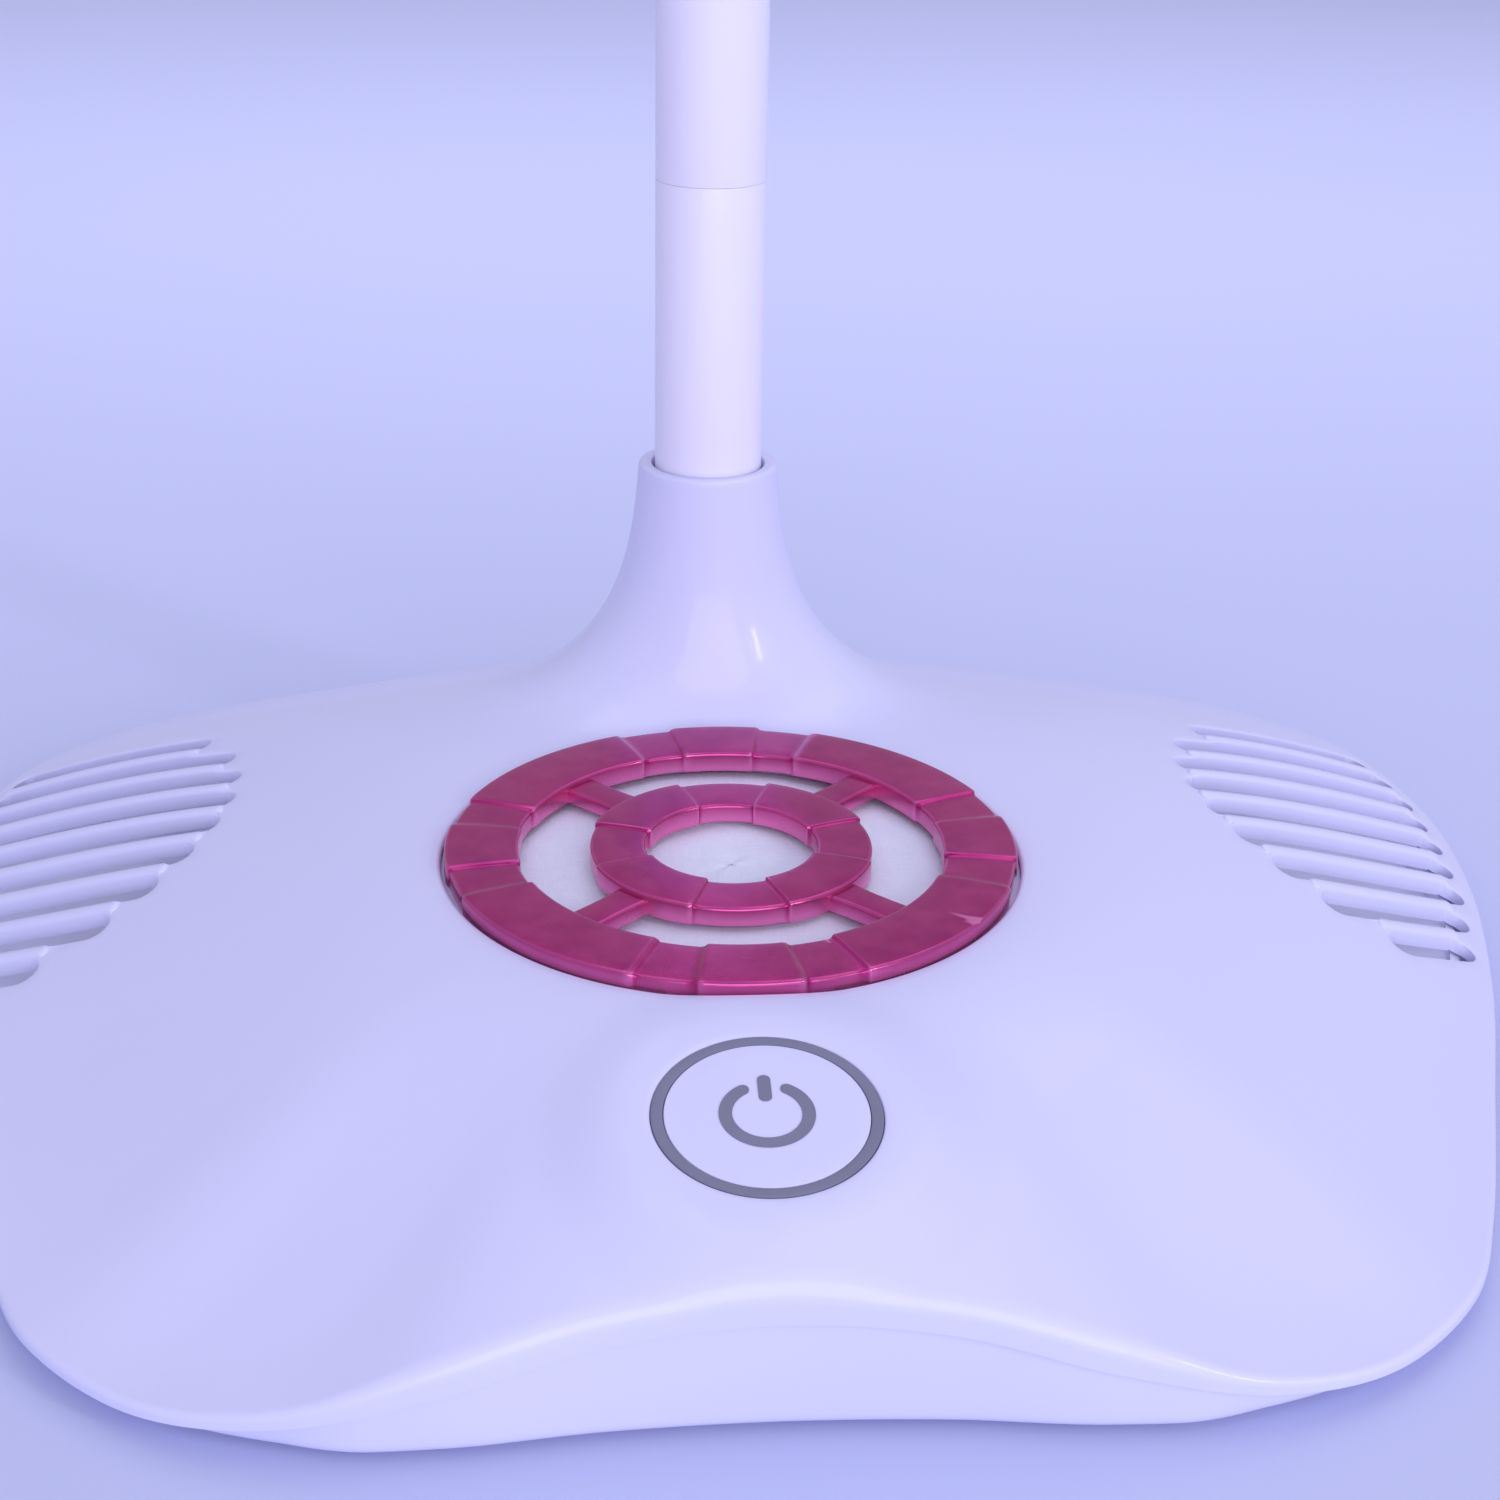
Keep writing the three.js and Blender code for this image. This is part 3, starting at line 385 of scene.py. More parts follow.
def carve(ob, tools):
    """Cuts closed meshes out of a piece, and removes the tools."""
    for tool in tools:
        m = ob.modifiers.new("cut", "BOOLEAN")
        m.operation = "DIFFERENCE"
        m.solver = "EXACT"
        m.object = tool
    bpy.context.view_layer.update()
    apply_modifiers(ob)
    for tool in tools:
        bpy.data.objects.remove(tool)
    for p in ob.data.polygons:
        p.use_smooth = True
    ob.data.set_sharp_from_angle(angle=math.radians(35))


def tool_mesh(build):
    bm = bmesh.new()
    build(bm)
    ob = bpy.data.objects.new("tool", finish_mesh(bm, "tool"))
    bpy.context.scene.collection.objects.link(ob)
    return ob


def add_block(bm, low, high):
    (x0, y0, z0), (x1, y1, z1) = low, high
    bottom = [(x0, y0, z0), (x1, y0, z0), (x1, y1, z0), (x0, y1, z0)]
    top = [(x, y, z1) for x, y, _ in bottom]
    add_loft(bm, [bottom, top], wrap=False, caps=(True, True))


def soften(ob, width, segments=2, angle=35):
    """Rounds the edges of a piece."""
    m = ob.modifiers.new("edges", "BEVEL")
    m.width = width * MM
    m.segments = segments
    m.limit_method = "ANGLE"
    m.angle_limit = math.radians(angle)
    m.harden_normals = False
    bpy.context.view_layer.update()
    apply_modifiers(ob)
    for p in ob.data.polygons:
        p.use_smooth = True
    ob.data.set_sharp_from_angle(angle=math.radians(50))


def refined(name, body, material, width=0.25, segments=2, angle=35):
    """A finer stand-in for a CAD node: its own shape with welded faces and rounded edges."""
    bm = bmesh.new()
    bm.from_mesh(NODES[name].data)
    bmesh.ops.remove_doubles(bm, verts=bm.verts, dist=1e-6)
    bmesh.ops.dissolve_limit(bm, angle_limit=math.radians(1), verts=bm.verts, edges=bm.edges)
    ob = bpy.data.objects.new(name + "_fine", finish_mesh(bm, name + "_fine"))
    link(ob, body, material, replaces=[name])
    soften(ob, width, segments, angle)
    ob.data.materials.clear()
    ob.data.materials.append(material)
    return ob


# ---------------------------------------------------------------- the form of the base, millimetres
OUTLINE = [
    (0, -109.4, 24.8, -0.42), (24, -110.2, 22.6, -0.42), (47, -112.4, 16.4, -0.38), (68.5, -111.5, 9, -0.26),
    (89, -104.3, 5.7, -0.15), (106.5, -89, 5.6, -0.15), (116.5, -69.5, 5.7, -0.17),
    (128.5, -37.5, 6.8, -0.23),
    (141, -2, 8.2, -0.3), (149.5, 34, 9.8, -0.36), (150.5, 66, 11, -0.4), (141, 92.5, 13.2, -0.42),
    (116.5, 105.5, 17.5, -0.44), (80, 109, 23, -0.4), (40, 110, 27.8, -0.36), (0, 110, 29.5, -0.33),
]
CROWN, SEAT_R, INNER_R, SKIN = 37.0, 50.6, 51.5, 2.4
SEAT_Z, WELL_R, WELL_Z = 35.2, 46.0, 26.9
FOOT_Z, FLOOR_Z, WALL = 1.5, 3.7, 2.2
BUTTON_Y, TILT = -79.4, math.radians(9.6)
STEM_Y, STEM_R = 79.0, 10.5
MOUTH_Z, BORE, THROAT, SPREAD, FALL = 83.5, 11.1, 12.8, 28.5, 13.8


def smooth(t):
    u = np.clip(t, 0, 1)
    return u * u * (3 - 2 * u)


def spline_columns(steps):
    ring = np.array(OUTLINE + [(-x, y, e, s) for x, y, e, s in OUTLINE[-2:0:-1]], float)
    rows = []
    for k in range(len(ring)):
        p0, p1, p2, p3 = (ring[(k + d) % len(ring)] for d in (-1, 0, 1, 2))
        for i in range(steps):
            t = i / steps
            rows.append(0.5 * (2 * p1 + (p2 - p0) * t + (2 * p0 - 5 * p1 + 4 * p2 - p3) * t ** 2
                               + (3 * p1 - p0 - 3 * p2 + p3) * t ** 3))
    return np.array(rows)


COLUMNS = spline_columns(24)
_turn = np.unwrap(np.arctan2(COLUMNS[:, 1], COLUMNS[:, 0]))
_reach = np.hypot(COLUMNS[:, 0], COLUMNS[:, 1])


def around(angle, values):
    start = _turn[0]
    a = (np.asarray(angle) - start) % (2 * math.pi) + start
    return np.interp(a, np.append(_turn, start + 2 * math.pi), np.append(values, values[0]))


def reach_at(a):
    return around(a, _reach)


def edge_at(a):
    return around(a, COLUMNS[:, 2])


def rim_at(edge):
    return 1.8 + 3.4 * smooth((edge - 5) / 14)


def bare_surface(x, y):
    a, r = np.arctan2(y, x), np.hypot(x, y)
    reach, edge, slope = reach_at(a), edge_at(a), around(a, COLUMNS[:, 3])
    span = reach - INNER_R
    t = np.clip((r - INNER_R) / span, 0, 1)
    bell = 2 * t ** 3 - 3 * t ** 2 + 1
    return bell * CROWN + (1 - bell) * edge + (t ** 3 - t ** 2) * slope * span


BUTTON_Z = float(bare_surface(0.0, BUTTON_Y))


def surface(x, y):
    """The smooth outer surface without the collar: a flat land is blended in round the button."""
    land = BUTTON_Z + (y - BUTTON_Y) * math.tan(TILT)
    away = smooth((np.hypot(x, y - BUTTON_Y) - 19) / 15)
    return land + (bare_surface(x, y) - land) * away


def tightness(a):
    s = np.sin(a)
    return 1 + np.where(s < 0, 0.9, 0.3) * s * s


def flare(x, y):
    """Height that the collar adds over the surface."""
    d, a = np.hypot(x, y - STEM_Y), np.arctan2(y - STEM_Y, x)
    wide = np.maximum((d - THROAT) * tightness(a), 0.05)
    u = FALL * np.log(SPREAD / wide)
    lift = 3 * np.log1p(np.exp(np.clip(u / 3, -30, 30)))
    return lift * smooth((np.hypot(x, y) - INNER_R) / 9)


# exhaust slots: (start, end) in plan for each slot, and for the slats between them
SLAT_HALF, SLAT_RISE = 1.5, 0.75
VENT = dict(x=132.3, y=41, r=41.5, turn=18.5, pitch=8.7, slots=9, width=6, margin=3.6)


def vent_lines(side):
    a = math.radians(VENT["turn"])
    along, across = np.array([math.cos(a), math.sin(a)]), np.array([-math.sin(a), math.cos(a)])
    spans, slots, slats = [], [], []
    for k in range(VENT["slots"]):
        s = (k - (VENT["slots"] - 1) / 2) * VENT["pitch"]
        start = -math.sqrt(VENT["r"] ** 2 - s * s)
        middle = np.array([VENT["x"], VENT["y"]]) + s * across
        end = 0.0
        trial = start + 8
        while trial < VENT["r"]:
            p = middle + trial * along
            if reach_at(math.atan2(p[1], p[0])) - math.hypot(*p) > VENT["margin"]:
                end = trial
            trial += 1
        spans.append((s, start, end))
    flip = np.array([side, 1])
    half = VENT["width"] / 2
    for s, start, end in spans:
        base = np.array([VENT["x"], VENT["y"]]) + s * across
        slots.append(((base + (start + half) * along) * flip, (base + (end - half) * along) * flip))
    for (s0, a0, b0), (s1, a1, b1) in zip(spans, spans[1:]):
        base = np.array([VENT["x"], VENT["y"]]) + (s0 + s1) / 2 * across
        near, far = max(a0, a1) + SLAT_HALF, min(b0, b1) - SLAT_HALF
        slats.append(((base + near * along) * flip, (base + far * along) * flip))
    return slots, slats


SLOTS, SLATS = [], []
for _side in (1, -1):
    _slots, _slats = vent_lines(_side)
    SLOTS += _slots
    SLATS += _slats


def to_segment(x, y, a, b):
    ab = b - a
    t = np.clip(((x - a[0]) * ab[0] + (y - a[1]) * ab[1]) / (ab @ ab), 0, 1)
    return np.hypot(x - a[0] - t * ab[0], y - a[1] - t * ab[1])


def round_over(distance, radius):
    """How far a rounded edge of that radius lies below the surface at a distance from the edge."""
    d = np.clip(distance, 0, radius)
    return radius - np.sqrt(np.maximum(radius ** 2 - (radius - d) ** 2, 0))


SLOT_EDGE = 0.5
BUTTON_HOLE = 17.08


def button_distance(x, y):
    return np.hypot(x, (y - BUTTON_Y) / math.cos(TILT)) - BUTTON_HOLE


def edge_round(edge):
    return 0.5 * rim_at(edge)


def outer_z(x, y):
    """Height of the finished outside: rounded edges at the seat, the button, the slots and the rim."""
    a, r = np.arctan2(y, x), np.hypot(x, y)
    z = surface(x, y) + flare(x, y)
    edge = edge_at(a)
    z = z - round_over(r - SEAT_R, 0.9)
    rim_round = edge_round(edge)
    gap = reach_at(a) - r
    z = z - round_over(gap, rim_round)
    z = z - round_over(button_distance(x, y), 0.35)
    near_slot = np.full(np.shape(x), 99.0)
    for p, q in SLOTS:
        near_slot = np.minimum(near_slot, to_segment(x, y, p, q) - VENT["width"] / 2)
    z = z - round_over(near_slot, SLOT_EDGE)
    near_slat = np.full(np.shape(x), 99.0)
    for p, q in SLATS:
        near_slat = np.minimum(near_slat, to_segment(x, y, p, q))
    return z + SLAT_RISE * np.sqrt(np.maximum(0, 1 - (near_slat / SLAT_HALF) ** 2))


def capsule(p, q, radius, step=2.2, arc=8):
    """Closed outline of a slot with round ends."""
    p, q = np.array(p), np.array(q)
    d = (q - p) / np.linalg.norm(q - p)
    n = np.array([-d[1], d[0]])
    count = max(2, int(np.linalg.norm(q - p) / step))
    out = [p - n * radius + (q - p) * k / count for k in range(count)]
    a0 = math.atan2(-n[1], -n[0])
    turns = [a0 + math.pi * k / arc for k in range(arc)]
    out += [q + radius * np.array([math.cos(a), math.sin(a)]) for a in turns]
    out += [q + n * radius + (p - q) * k / count for k in range(count)]
    out += [p - radius * np.array([math.cos(a), math.sin(a)]) for a in turns]
    return out


def circle(cx, cy, rx, ry, count):
    turns = [2 * math.pi * k / count for k in range(count)]
    return [(cx + rx * math.cos(a), cy + ry * math.sin(a)) for a in turns]


def collar_reach(a):
    return THROAT + 15 / tightness(a)


COLLAR_TURNS = 144


def collar_loop():
    angles = [2 * math.pi * k / COLLAR_TURNS for k in range(COLLAR_TURNS)]
    return [(collar_reach(a) * math.cos(a), STEM_Y + collar_reach(a) * math.sin(a)) for a in angles]


def plan_mesh():
    """Points and triangles of the shell in plan, with every edge of it as a line of points."""
    points, lines = [], []

    def add_line(pts, closed=True):
        start = len(points)
        points.extend((float(p[0]), float(p[1])) for p in pts)
        n = len(pts)
        lines.extend((start + k, start + (k + 1) % n) for k in range(n if closed else n - 1))

    turns = np.arctan2(COLUMNS[::2, 1], COLUMNS[::2, 0])
    for share in (0, 0.04, 0.15, 0.35, 0.65, 1.0, 1.4):
        inset = share * edge_round(edge_at(turns))
        r = reach_at(turns) - inset
        add_line(list(zip(r * np.cos(turns), r * np.sin(turns))))
    for r in (SEAT_R, SEAT_R + 0.06, SEAT_R + 0.25, SEAT_R + 0.5, INNER_R, INNER_R + 1.6):
        add_line(circle(0, 0, r, r, 220))
    for r in (0, 0.03, 0.12, 0.35, 1.5):
        add_line(circle(0, BUTTON_Y, BUTTON_HOLE + r, (BUTTON_HOLE + r) * math.cos(TILT), 120))
    add_line(collar_loop())
    for p, q in SLOTS:
        for r in (0, 0.04, 0.17, SLOT_EDGE):
            add_line(capsule(p, q, VENT["width"] / 2 + r))
    for p, q in SLATS:
        count = max(2, int(np.linalg.norm(np.array(q) - p) / 2.2))
        add_line([np.array(p) + (np.array(q) - p) * k / count for k in range(count + 1)], closed=False)
        for end, other in ((p, q), (q, p)):
            way = math.atan2(end[1] - other[1], end[0] - other[0])
            for r in (0.6, 1.1, 1.4, 1.5):
                arc = [way - 1.45 + 2.9 * k / 6 for k in range(7)]
                points.extend((end[0] + r * math.cos(a), end[1] + r * math.sin(a)) for a in arc)
    step = 2.6
    seeds = []
    for row in range(-45, 46):
        for col in range(-60, 61):
            seeds.append((col * step + (row % 2) * step / 2, row * step * 0.866))
    s = np.array(seeds)
    r, a = np.hypot(s[:, 0], s[:, 1]), np.arctan2(s[:, 1], s[:, 0])
    keep = (r < reach_at(a) - 1.4 * edge_round(edge_at(a)) - 1.2) & (r > INNER_R + 2.6)
    keep &= button_distance(s[:, 0], s[:, 1]) > 2.4
    ca = np.arctan2(s[:, 1] - STEM_Y, s[:, 0])
    keep &= np.hypot(s[:, 0], s[:, 1] - STEM_Y) > collar_reach(ca) + 1.2
    for p, q in SLOTS:
        keep &= to_segment(s[:, 0], s[:, 1], p, q) > VENT["width"] / 2 + 1.3
    points.extend(map(tuple, s[keep]))
    out = delaunay_2d_cdt([Vector(p) for p in points], lines, [], 0, 1e-4)
    xy = np.array([tuple(v) for v in out[0]])
    tris = np.array([f for f in out[2]])
    mid = xy[tris].mean(axis=1)
    a, r = np.arctan2(mid[:, 1], mid[:, 0]), np.hypot(mid[:, 0], mid[:, 1])
    keep = (r < reach_at(a) - 0.002) & (r > SEAT_R) & (button_distance(mid[:, 0], mid[:, 1]) > 0)
    ca = np.arctan2(mid[:, 1] - STEM_Y, mid[:, 0])
    keep &= np.hypot(mid[:, 0], mid[:, 1] - STEM_Y) > collar_reach(ca) * 0.9995
    for p, q in SLOTS:
        keep &= to_segment(mid[:, 0], mid[:, 1], p, q) > VENT["width"] / 2
    return xy, tris[keep]


def make_top_shell():
    low, high = (np.array(v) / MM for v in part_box("top_shell"))
    xy, tris = plan_mesh()
    x, y = xy[:, 0], xy[:, 1]
    top = outer_z(x, y)
    a, r = np.arctan2(y, x), np.hypot(x, y)
    edge = edge_at(a)
    toward_rim = smooth(1 - (reach_at(a) - r) / 2.2)
    under = (top - SKIN) * (1 - toward_rim) + (edge - rim_at(edge)) * toward_rim
    n = len(xy)
    both = np.column_stack([np.tile(x, 2), np.tile(y, 2), np.concatenate([top, under])])
    points = [tuple(np.clip(p, low, high)) for p in both]
    faces = [tuple(t) for t in tris] + [tuple(n + i for i in t[::-1]) for t in tris]
    sides = dict.fromkeys((t[k - 1], t[k]) for t in tris for k in (1, 2, 0))
    in_collar = np.abs(np.hypot(x, y - STEM_Y) - collar_reach(np.arctan2(y - STEM_Y, x))) < 0.01
    for i, j in sides:
        if (j, i) not in sides and not (in_collar[i] and in_collar[j]):
            faces.append((i, n + i, n + j, j))
    bm = bmesh.new()
    add_faces(bm, points, faces)
    # the collar: rings from its foot up to the mouth, over the lip and down the bore
    angles = [2 * math.pi * k / COLLAR_TURNS for k in range(COLLAR_TURNS)]
    loops = []
    for a in angles:
        outer = collar_reach(a)
        cos, sin = math.cos(a), math.sin(a)

        def total(d):
            return float(surface(d * cos, STEM_Y + d * sin) + flare(d * cos, STEM_Y + d * sin))

        near, far = THROAT + 0.06, outer
        for _ in range(30):
            mid = (near + far) / 2
            near, far = (mid, far) if total(mid) > MOUTH_Z - 0.7 else (near, mid)
        mouth = far
        column = []
        for k in range(40):
            d = THROAT + (outer - THROAT) * ((mouth - THROAT) / (outer - THROAT)) ** (k / 39)
            column.append((d, float(outer_z(d * cos, STEM_Y + d * sin)) if k == 0 else total(d)))
        column += [(mouth - 0.1, MOUTH_Z - 0.35), (mouth - 0.32, MOUTH_Z - 0.1), (mouth - 0.65, MOUTH_Z),
                   (BORE + 0.5, MOUTH_Z), (BORE + 0.16, MOUTH_Z - 0.14), (BORE, MOUTH_Z - 0.5), (BORE, 40)]
        loops.append([tuple(np.clip((d * cos, STEM_Y + d * sin, z), low, high)) for d, z in column])
    rows = len(loops[0])
    flat = [p for loop in loops for p in loop]
    skin = []
    for k in range(COLLAR_TURNS):
        b = ((k + 1) % COLLAR_TURNS) * rows
        skin += [(k * rows + i, b + i, b + i + 1, k * rows + i + 1) for i in range(rows - 1)]
    add_faces(bm, flat, skin)
    # the seat of the grille and the filter well
    well = [(WELL_R, WELL_Z), (WELL_R, SEAT_Z - 0.3), (WELL_R + 0.3, SEAT_Z), (SEAT_R, SEAT_Z),
            (SEAT_R, CROWN - 0.9), (SEAT_R + 0.6, SEAT_Z - SKIN), (WELL_R + WALL, SEAT_Z - SKIN),
            (WELL_R + WALL, WELL_Z)]
    add_loft(bm, lathe_loops(well, 220))
    ob = bpy.data.objects.new("top_shell_skin", finish_mesh(bm, "top_shell_skin", 40, 4e-6))
    return link(ob, "base", WHITE, replaces=["top_shell"], slot="shell_white")


make_top_shell()


# ---------------------------------------------------------------- bottom shell, feet and screws
INLET = Vector((66, 106, 12))
FEET = [(82, -84), (-82, -84), (112, 78), (-112, 78)]
CASE_SCREWS = [(72, -74), (-72, -74), (92, 88), (-92, 88)]


def make_bottom_shell():
    low, high = (np.array(v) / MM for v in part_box("bottom_shell"))
    turns = np.arctan2(COLUMNS[::2, 1], COLUMNS[::2, 0])
    loops = []
    for a in turns:
        reach, edge = float(reach_at(a)), float(edge_at(a))
        tuck = 0.8 + 2.4 * (1 - float(smooth((edge - 5) / 8)))
        wall = reach - tuck
        under = float(surface(wall * math.cos(a), wall * math.sin(a))) - SKIN
        height = max(FLOOR_Z + 0.2, min(edge - float(rim_at(edge)), under) - 0.3)
        corners = [(wall - 6, FOOT_Z), (wall, FOOT_Z), (wall, height), (wall - WALL, height)]
        profile = [(0, FOOT_Z)] + fillet(corners, [0, 2.2, 0.35, 0], 5, closed=False)
        profile += [(wall - WALL, FLOOR_Z), (0, FLOOR_Z)]
        loops.append([tuple(np.clip((r * math.cos(a), r * math.sin(a), z), low, high)) for r, z in profile])
    bm = bmesh.new()
    add_loft(bm, loops)
    name = "bottom_shell_skin"
    ob = bpy.data.objects.new(name, finish_mesh(bm, name, 40))
    link(ob, "base", WHITE, replaces=["bottom_shell"], slot="shell_white")

    def holes(b):
        for x, y in FEET:
            add_rod(b, 7.4, 0, FOOT_Z + 0.7, 40, (x, y, 0))
        for x, y in CASE_SCREWS:
            add_rod(b, 3.4, 0, FOOT_Z + 0.9, 32, (x, y, 0))

    def inlet(b):
        add_rod(b, 4.3, -8, 8, 40)
        along_y = Matrix.Translation(INLET * MM) @ Matrix.Rotation(math.pi / 2, 4, "X")
        bmesh.ops.transform(b, matrix=along_y, verts=b.verts)

    carve(ob, [tool_mesh(holes), tool_mesh(inlet)])


make_bottom_shell()

for _k, (_x, _y) in enumerate(FEET):
    _foot = fillet([(0, 0), (6.2, 0), (7, 0.8), (7, 2.1), (0, 2.1)], [0, 0.4, 0.4, 0.2, 0], 3)
    lathe(f"foot_pad_{_k + 1}", _foot, "base", RUBBER, (_x, _y, 0), 56, replaces=[f"foot_{_k + 1}"],
          slot="rubber")

for _k, (_x, _y) in enumerate(CASE_SCREWS):
    _shape = fillet([(0, 0.8), (2.6, 0.8), (3.1, 1.2), (3.1, 2.3), (1.4, 2.3), (1.4, 11.0), (1.0, 11.3),
                     (0, 11.3)], [0, 0.5, 0.3, 0.1, 0, 0.2, 0.1, 0], 3)
    _ob = lathe(f"case_screw_head_{_k + 1}", _shape, "base", STEEL, (_x, _y, 0), 40,
                replaces=[f"case_screw_{_k + 1}"], slot="steel")

    def _cross(b, x=_x, y=_y):
        add_block(b, (x - 1.7, y - 0.35, 0.5), (x + 1.7, y + 0.35, 1.7))

    def _cross_too(b, x=_x, y=_y):
        add_block(b, (x - 0.35, y - 1.7, 0.5), (x + 0.35, y + 1.7, 1.7))

    carve(_ob, [tool_mesh(_cross), tool_mesh(_cross_too)])


# ---------------------------------------------------------------- grille and filter
GRILLE_BASE, GRILLE_LOW, GRILLE_HIGH, GRILLE_TOP = 35.3, 38.6, 39.0, 39.1
OUTER_BAND, INNER_BAND = (37.1, 50.0), (14.6, 25.2)
PAD_MIDDLE, PAD_REACH, PAD_LOW, PAD_HIGH = 32.0, 42.35, 29.72, 34.28


def step_at(angle, middles, half, ramp=1.3):
    """1 on the plateaus and 0 between them, with a short ramp, from angles in degrees."""
    best = 0.0
    for m in middles:
        off = abs((angle - m + 180) % 360 - 180)
        best = max(best, float(smooth((half - off) / ramp + 0.5)))
    return best


def band_loops(inner, outer, raised, narrow=0.5):
    """Loops of one band of the grille: it is lower and narrower between its plateaus."""
    loops, angle = [], 0.0
    while angle < 360:
        p = raised(angle)
        top = GRILLE_LOW + (GRILLE_HIGH - GRILLE_LOW) * p
        r0, r1 = inner + narrow * (1 - p), outer - narrow * (1 - p)
        section = fillet([(r0, GRILLE_BASE), (r0, top), (r1, top), (r1, GRILLE_BASE)], [0, 0.7, 0.7, 0], 4,
                         closed=False)
        middle = [((r0 + r1) / 2 + d * (r1 - r0) / 2, top + 0.12 * (1 - d * d)) for d in (-0.6, 0, 0.6)]
        half = len(section) // 2
        section = section[:half] + middle + section[half:]
        a = math.radians(angle)
        loops.append([(r * math.cos(a), r * math.sin(a), min(z, GRILLE_TOP)) for r, z in section])
        angle += 0.3 if 0.001 < p < 0.999 else 1.0
    return loops


DIAGONALS = (45, 135, 225, 315)
CROSSES = (0, 90, 180, 270)


def make_grille():
    bm = bmesh.new()

    def outer_plateau(a):
        return max(step_at(a, DIAGONALS, 23), step_at(a, CROSSES, 10))

    add_loft(bm, band_loops(*OUTER_BAND, outer_plateau))
    add_loft(bm, band_loops(*INNER_BAND, lambda a: step_at(a, DIAGONALS, 26)))
    for angle in DIAGONALS:
        turn = Matrix.Rotation(math.radians(angle), 4, "Z")
        rows = []
        for r in np.linspace(22, 41, 12):
            waist = 3.6 - 0.5 * math.sin(math.pi * (r - 22) / 19)
            corners = [(-waist, 35.4), (waist, 35.4), (waist, 38.1), (-waist, 38.1)]
            section = fillet(corners, [0, 0, 0.8, 0.8], 4)
            rows.append([tuple(turn @ Vector((r, y, z))) for y, z in section])
        add_loft(bm, rows, wrap=False, caps=(True, True))
    ob = bpy.data.objects.new("intake_grille", finish_mesh(bm, "intake_grille", 50))
    return link(ob, "filter_cartridge", MAGENTA, replaces=["grille"], slot="grille_magenta")


make_grille()


def make_pad():
    """The filter pad: crowned, with a rolled edge and a softly uneven face, heat-bonded in a faint ring."""
    bm = bmesh.new()
    rings = [0.0] + list(np.linspace(1.5, 41.0, 30)) + [41.6, 42.0, 42.3]
    count = 150
    loops = []
    for side in (1, -1):
        for r in (rings if side == 1 else rings[::-1]):
            row = []
            for k in range(count):
                a = 2 * math.pi * k / count
                edge = math.sqrt(max(0.0, 1 - (r / PAD_REACH) ** 10))
                swell = 0.10 * math.sin(3 * a + r * 0.21) + 0.08 * math.sin(5 * a - r * 0.33)
                swell += 0.06 * math.sin(r * 0.9 + 2 * a)
                ring = -0.35 * math.exp(-((r - 39.2) / 0.7) ** 2)
                z = PAD_MIDDLE + side * (0.35 + (1.75 + swell + ring) * edge)
                row.append((r * math.cos(a), r * math.sin(a), min(max(z, PAD_LOW), PAD_HIGH)))
            loops.append(row)
    add_loft(bm, loops)
    ob = bpy.data.objects.new("filter_felt_pad", finish_mesh(bm, "filter_felt_pad", 70, 4e-6))
    link(ob, "filter_cartridge", FELT, replaces=["filter_pad"], slot="pad_white")


make_pad()


def make_filter_frame():
    bm = bmesh.new()
    basket = fillet([(43, 27.6), (45.6, 27.6), (45.6, 34.9), (43, 34.9)], 0.4, 3)
    add_loft(bm, lathe_loops(basket, 120))
    hoop = fillet([(20, 27.6), (22.2, 27.6), (22.2, 29.4), (20, 29.4)], 0.35, 2)
    add_loft(bm, lathe_loops(hoop, 72))
    for angle in (0, 60, 120):
        turn = Matrix.Rotation(math.radians(angle), 4, "Z")
        section = fillet([(-1.1, 27.6), (1.1, 27.6), (1.1, 29.35), (-1.1, 29.35)], 0.3, 2)
        ends = [[tuple(turn @ Vector((x, y, z))) for y, z in section] for x in (-43.6, 43.6)]
        add_loft(bm, ends, wrap=False, caps=(True, True))
    ob = bpy.data.objects.new("filter_basket", finish_mesh(bm, "filter_basket"))
    link(ob, "filter_cartridge", INNER, replaces=["filter_frame"], slot="inner_white")


make_filter_frame()

# ---------------------------------------------------------------- power button, in the slope of the shell
ON_BUTTON = Matrix.Translation((0, BUTTON_Y * MM, BUTTON_Z * MM)) @ Matrix.Rotation(TILT, 4, "X")

_trim = fillet([(15.2, -4.4), (19.4, -4.4), (19.4, -3.1), (17, -3.1), (17, 0), (15.2, 0)],
               [0.1, 0.1, 0.1, 0, 0.18, 0.14], 3)
lathe("power_ring_trim", _trim, "base", PRINT, segments=150, turn=ON_BUTTON, replaces=["power_ring"],
      slot="mark_grey")

_cap = [(0, -8), (2.4, -8), (2.4, -2), (13, -2), (13, -6.2), (17.2, -6.2), (17.2, -5.2), (15.1, -5.2)]
_cap += fillet([(15.1, -3), (15.1, -0.02), (12, -0.02)], [0, 0.22, 0], 4, closed=False)
_cap += [(6, -0.01), (0, 0)]
lathe("power_button_cap", _cap, "button", WHITE, segments=150, turn=ON_BUTTON, replaces=["power_button"],
      slot="shell_white")


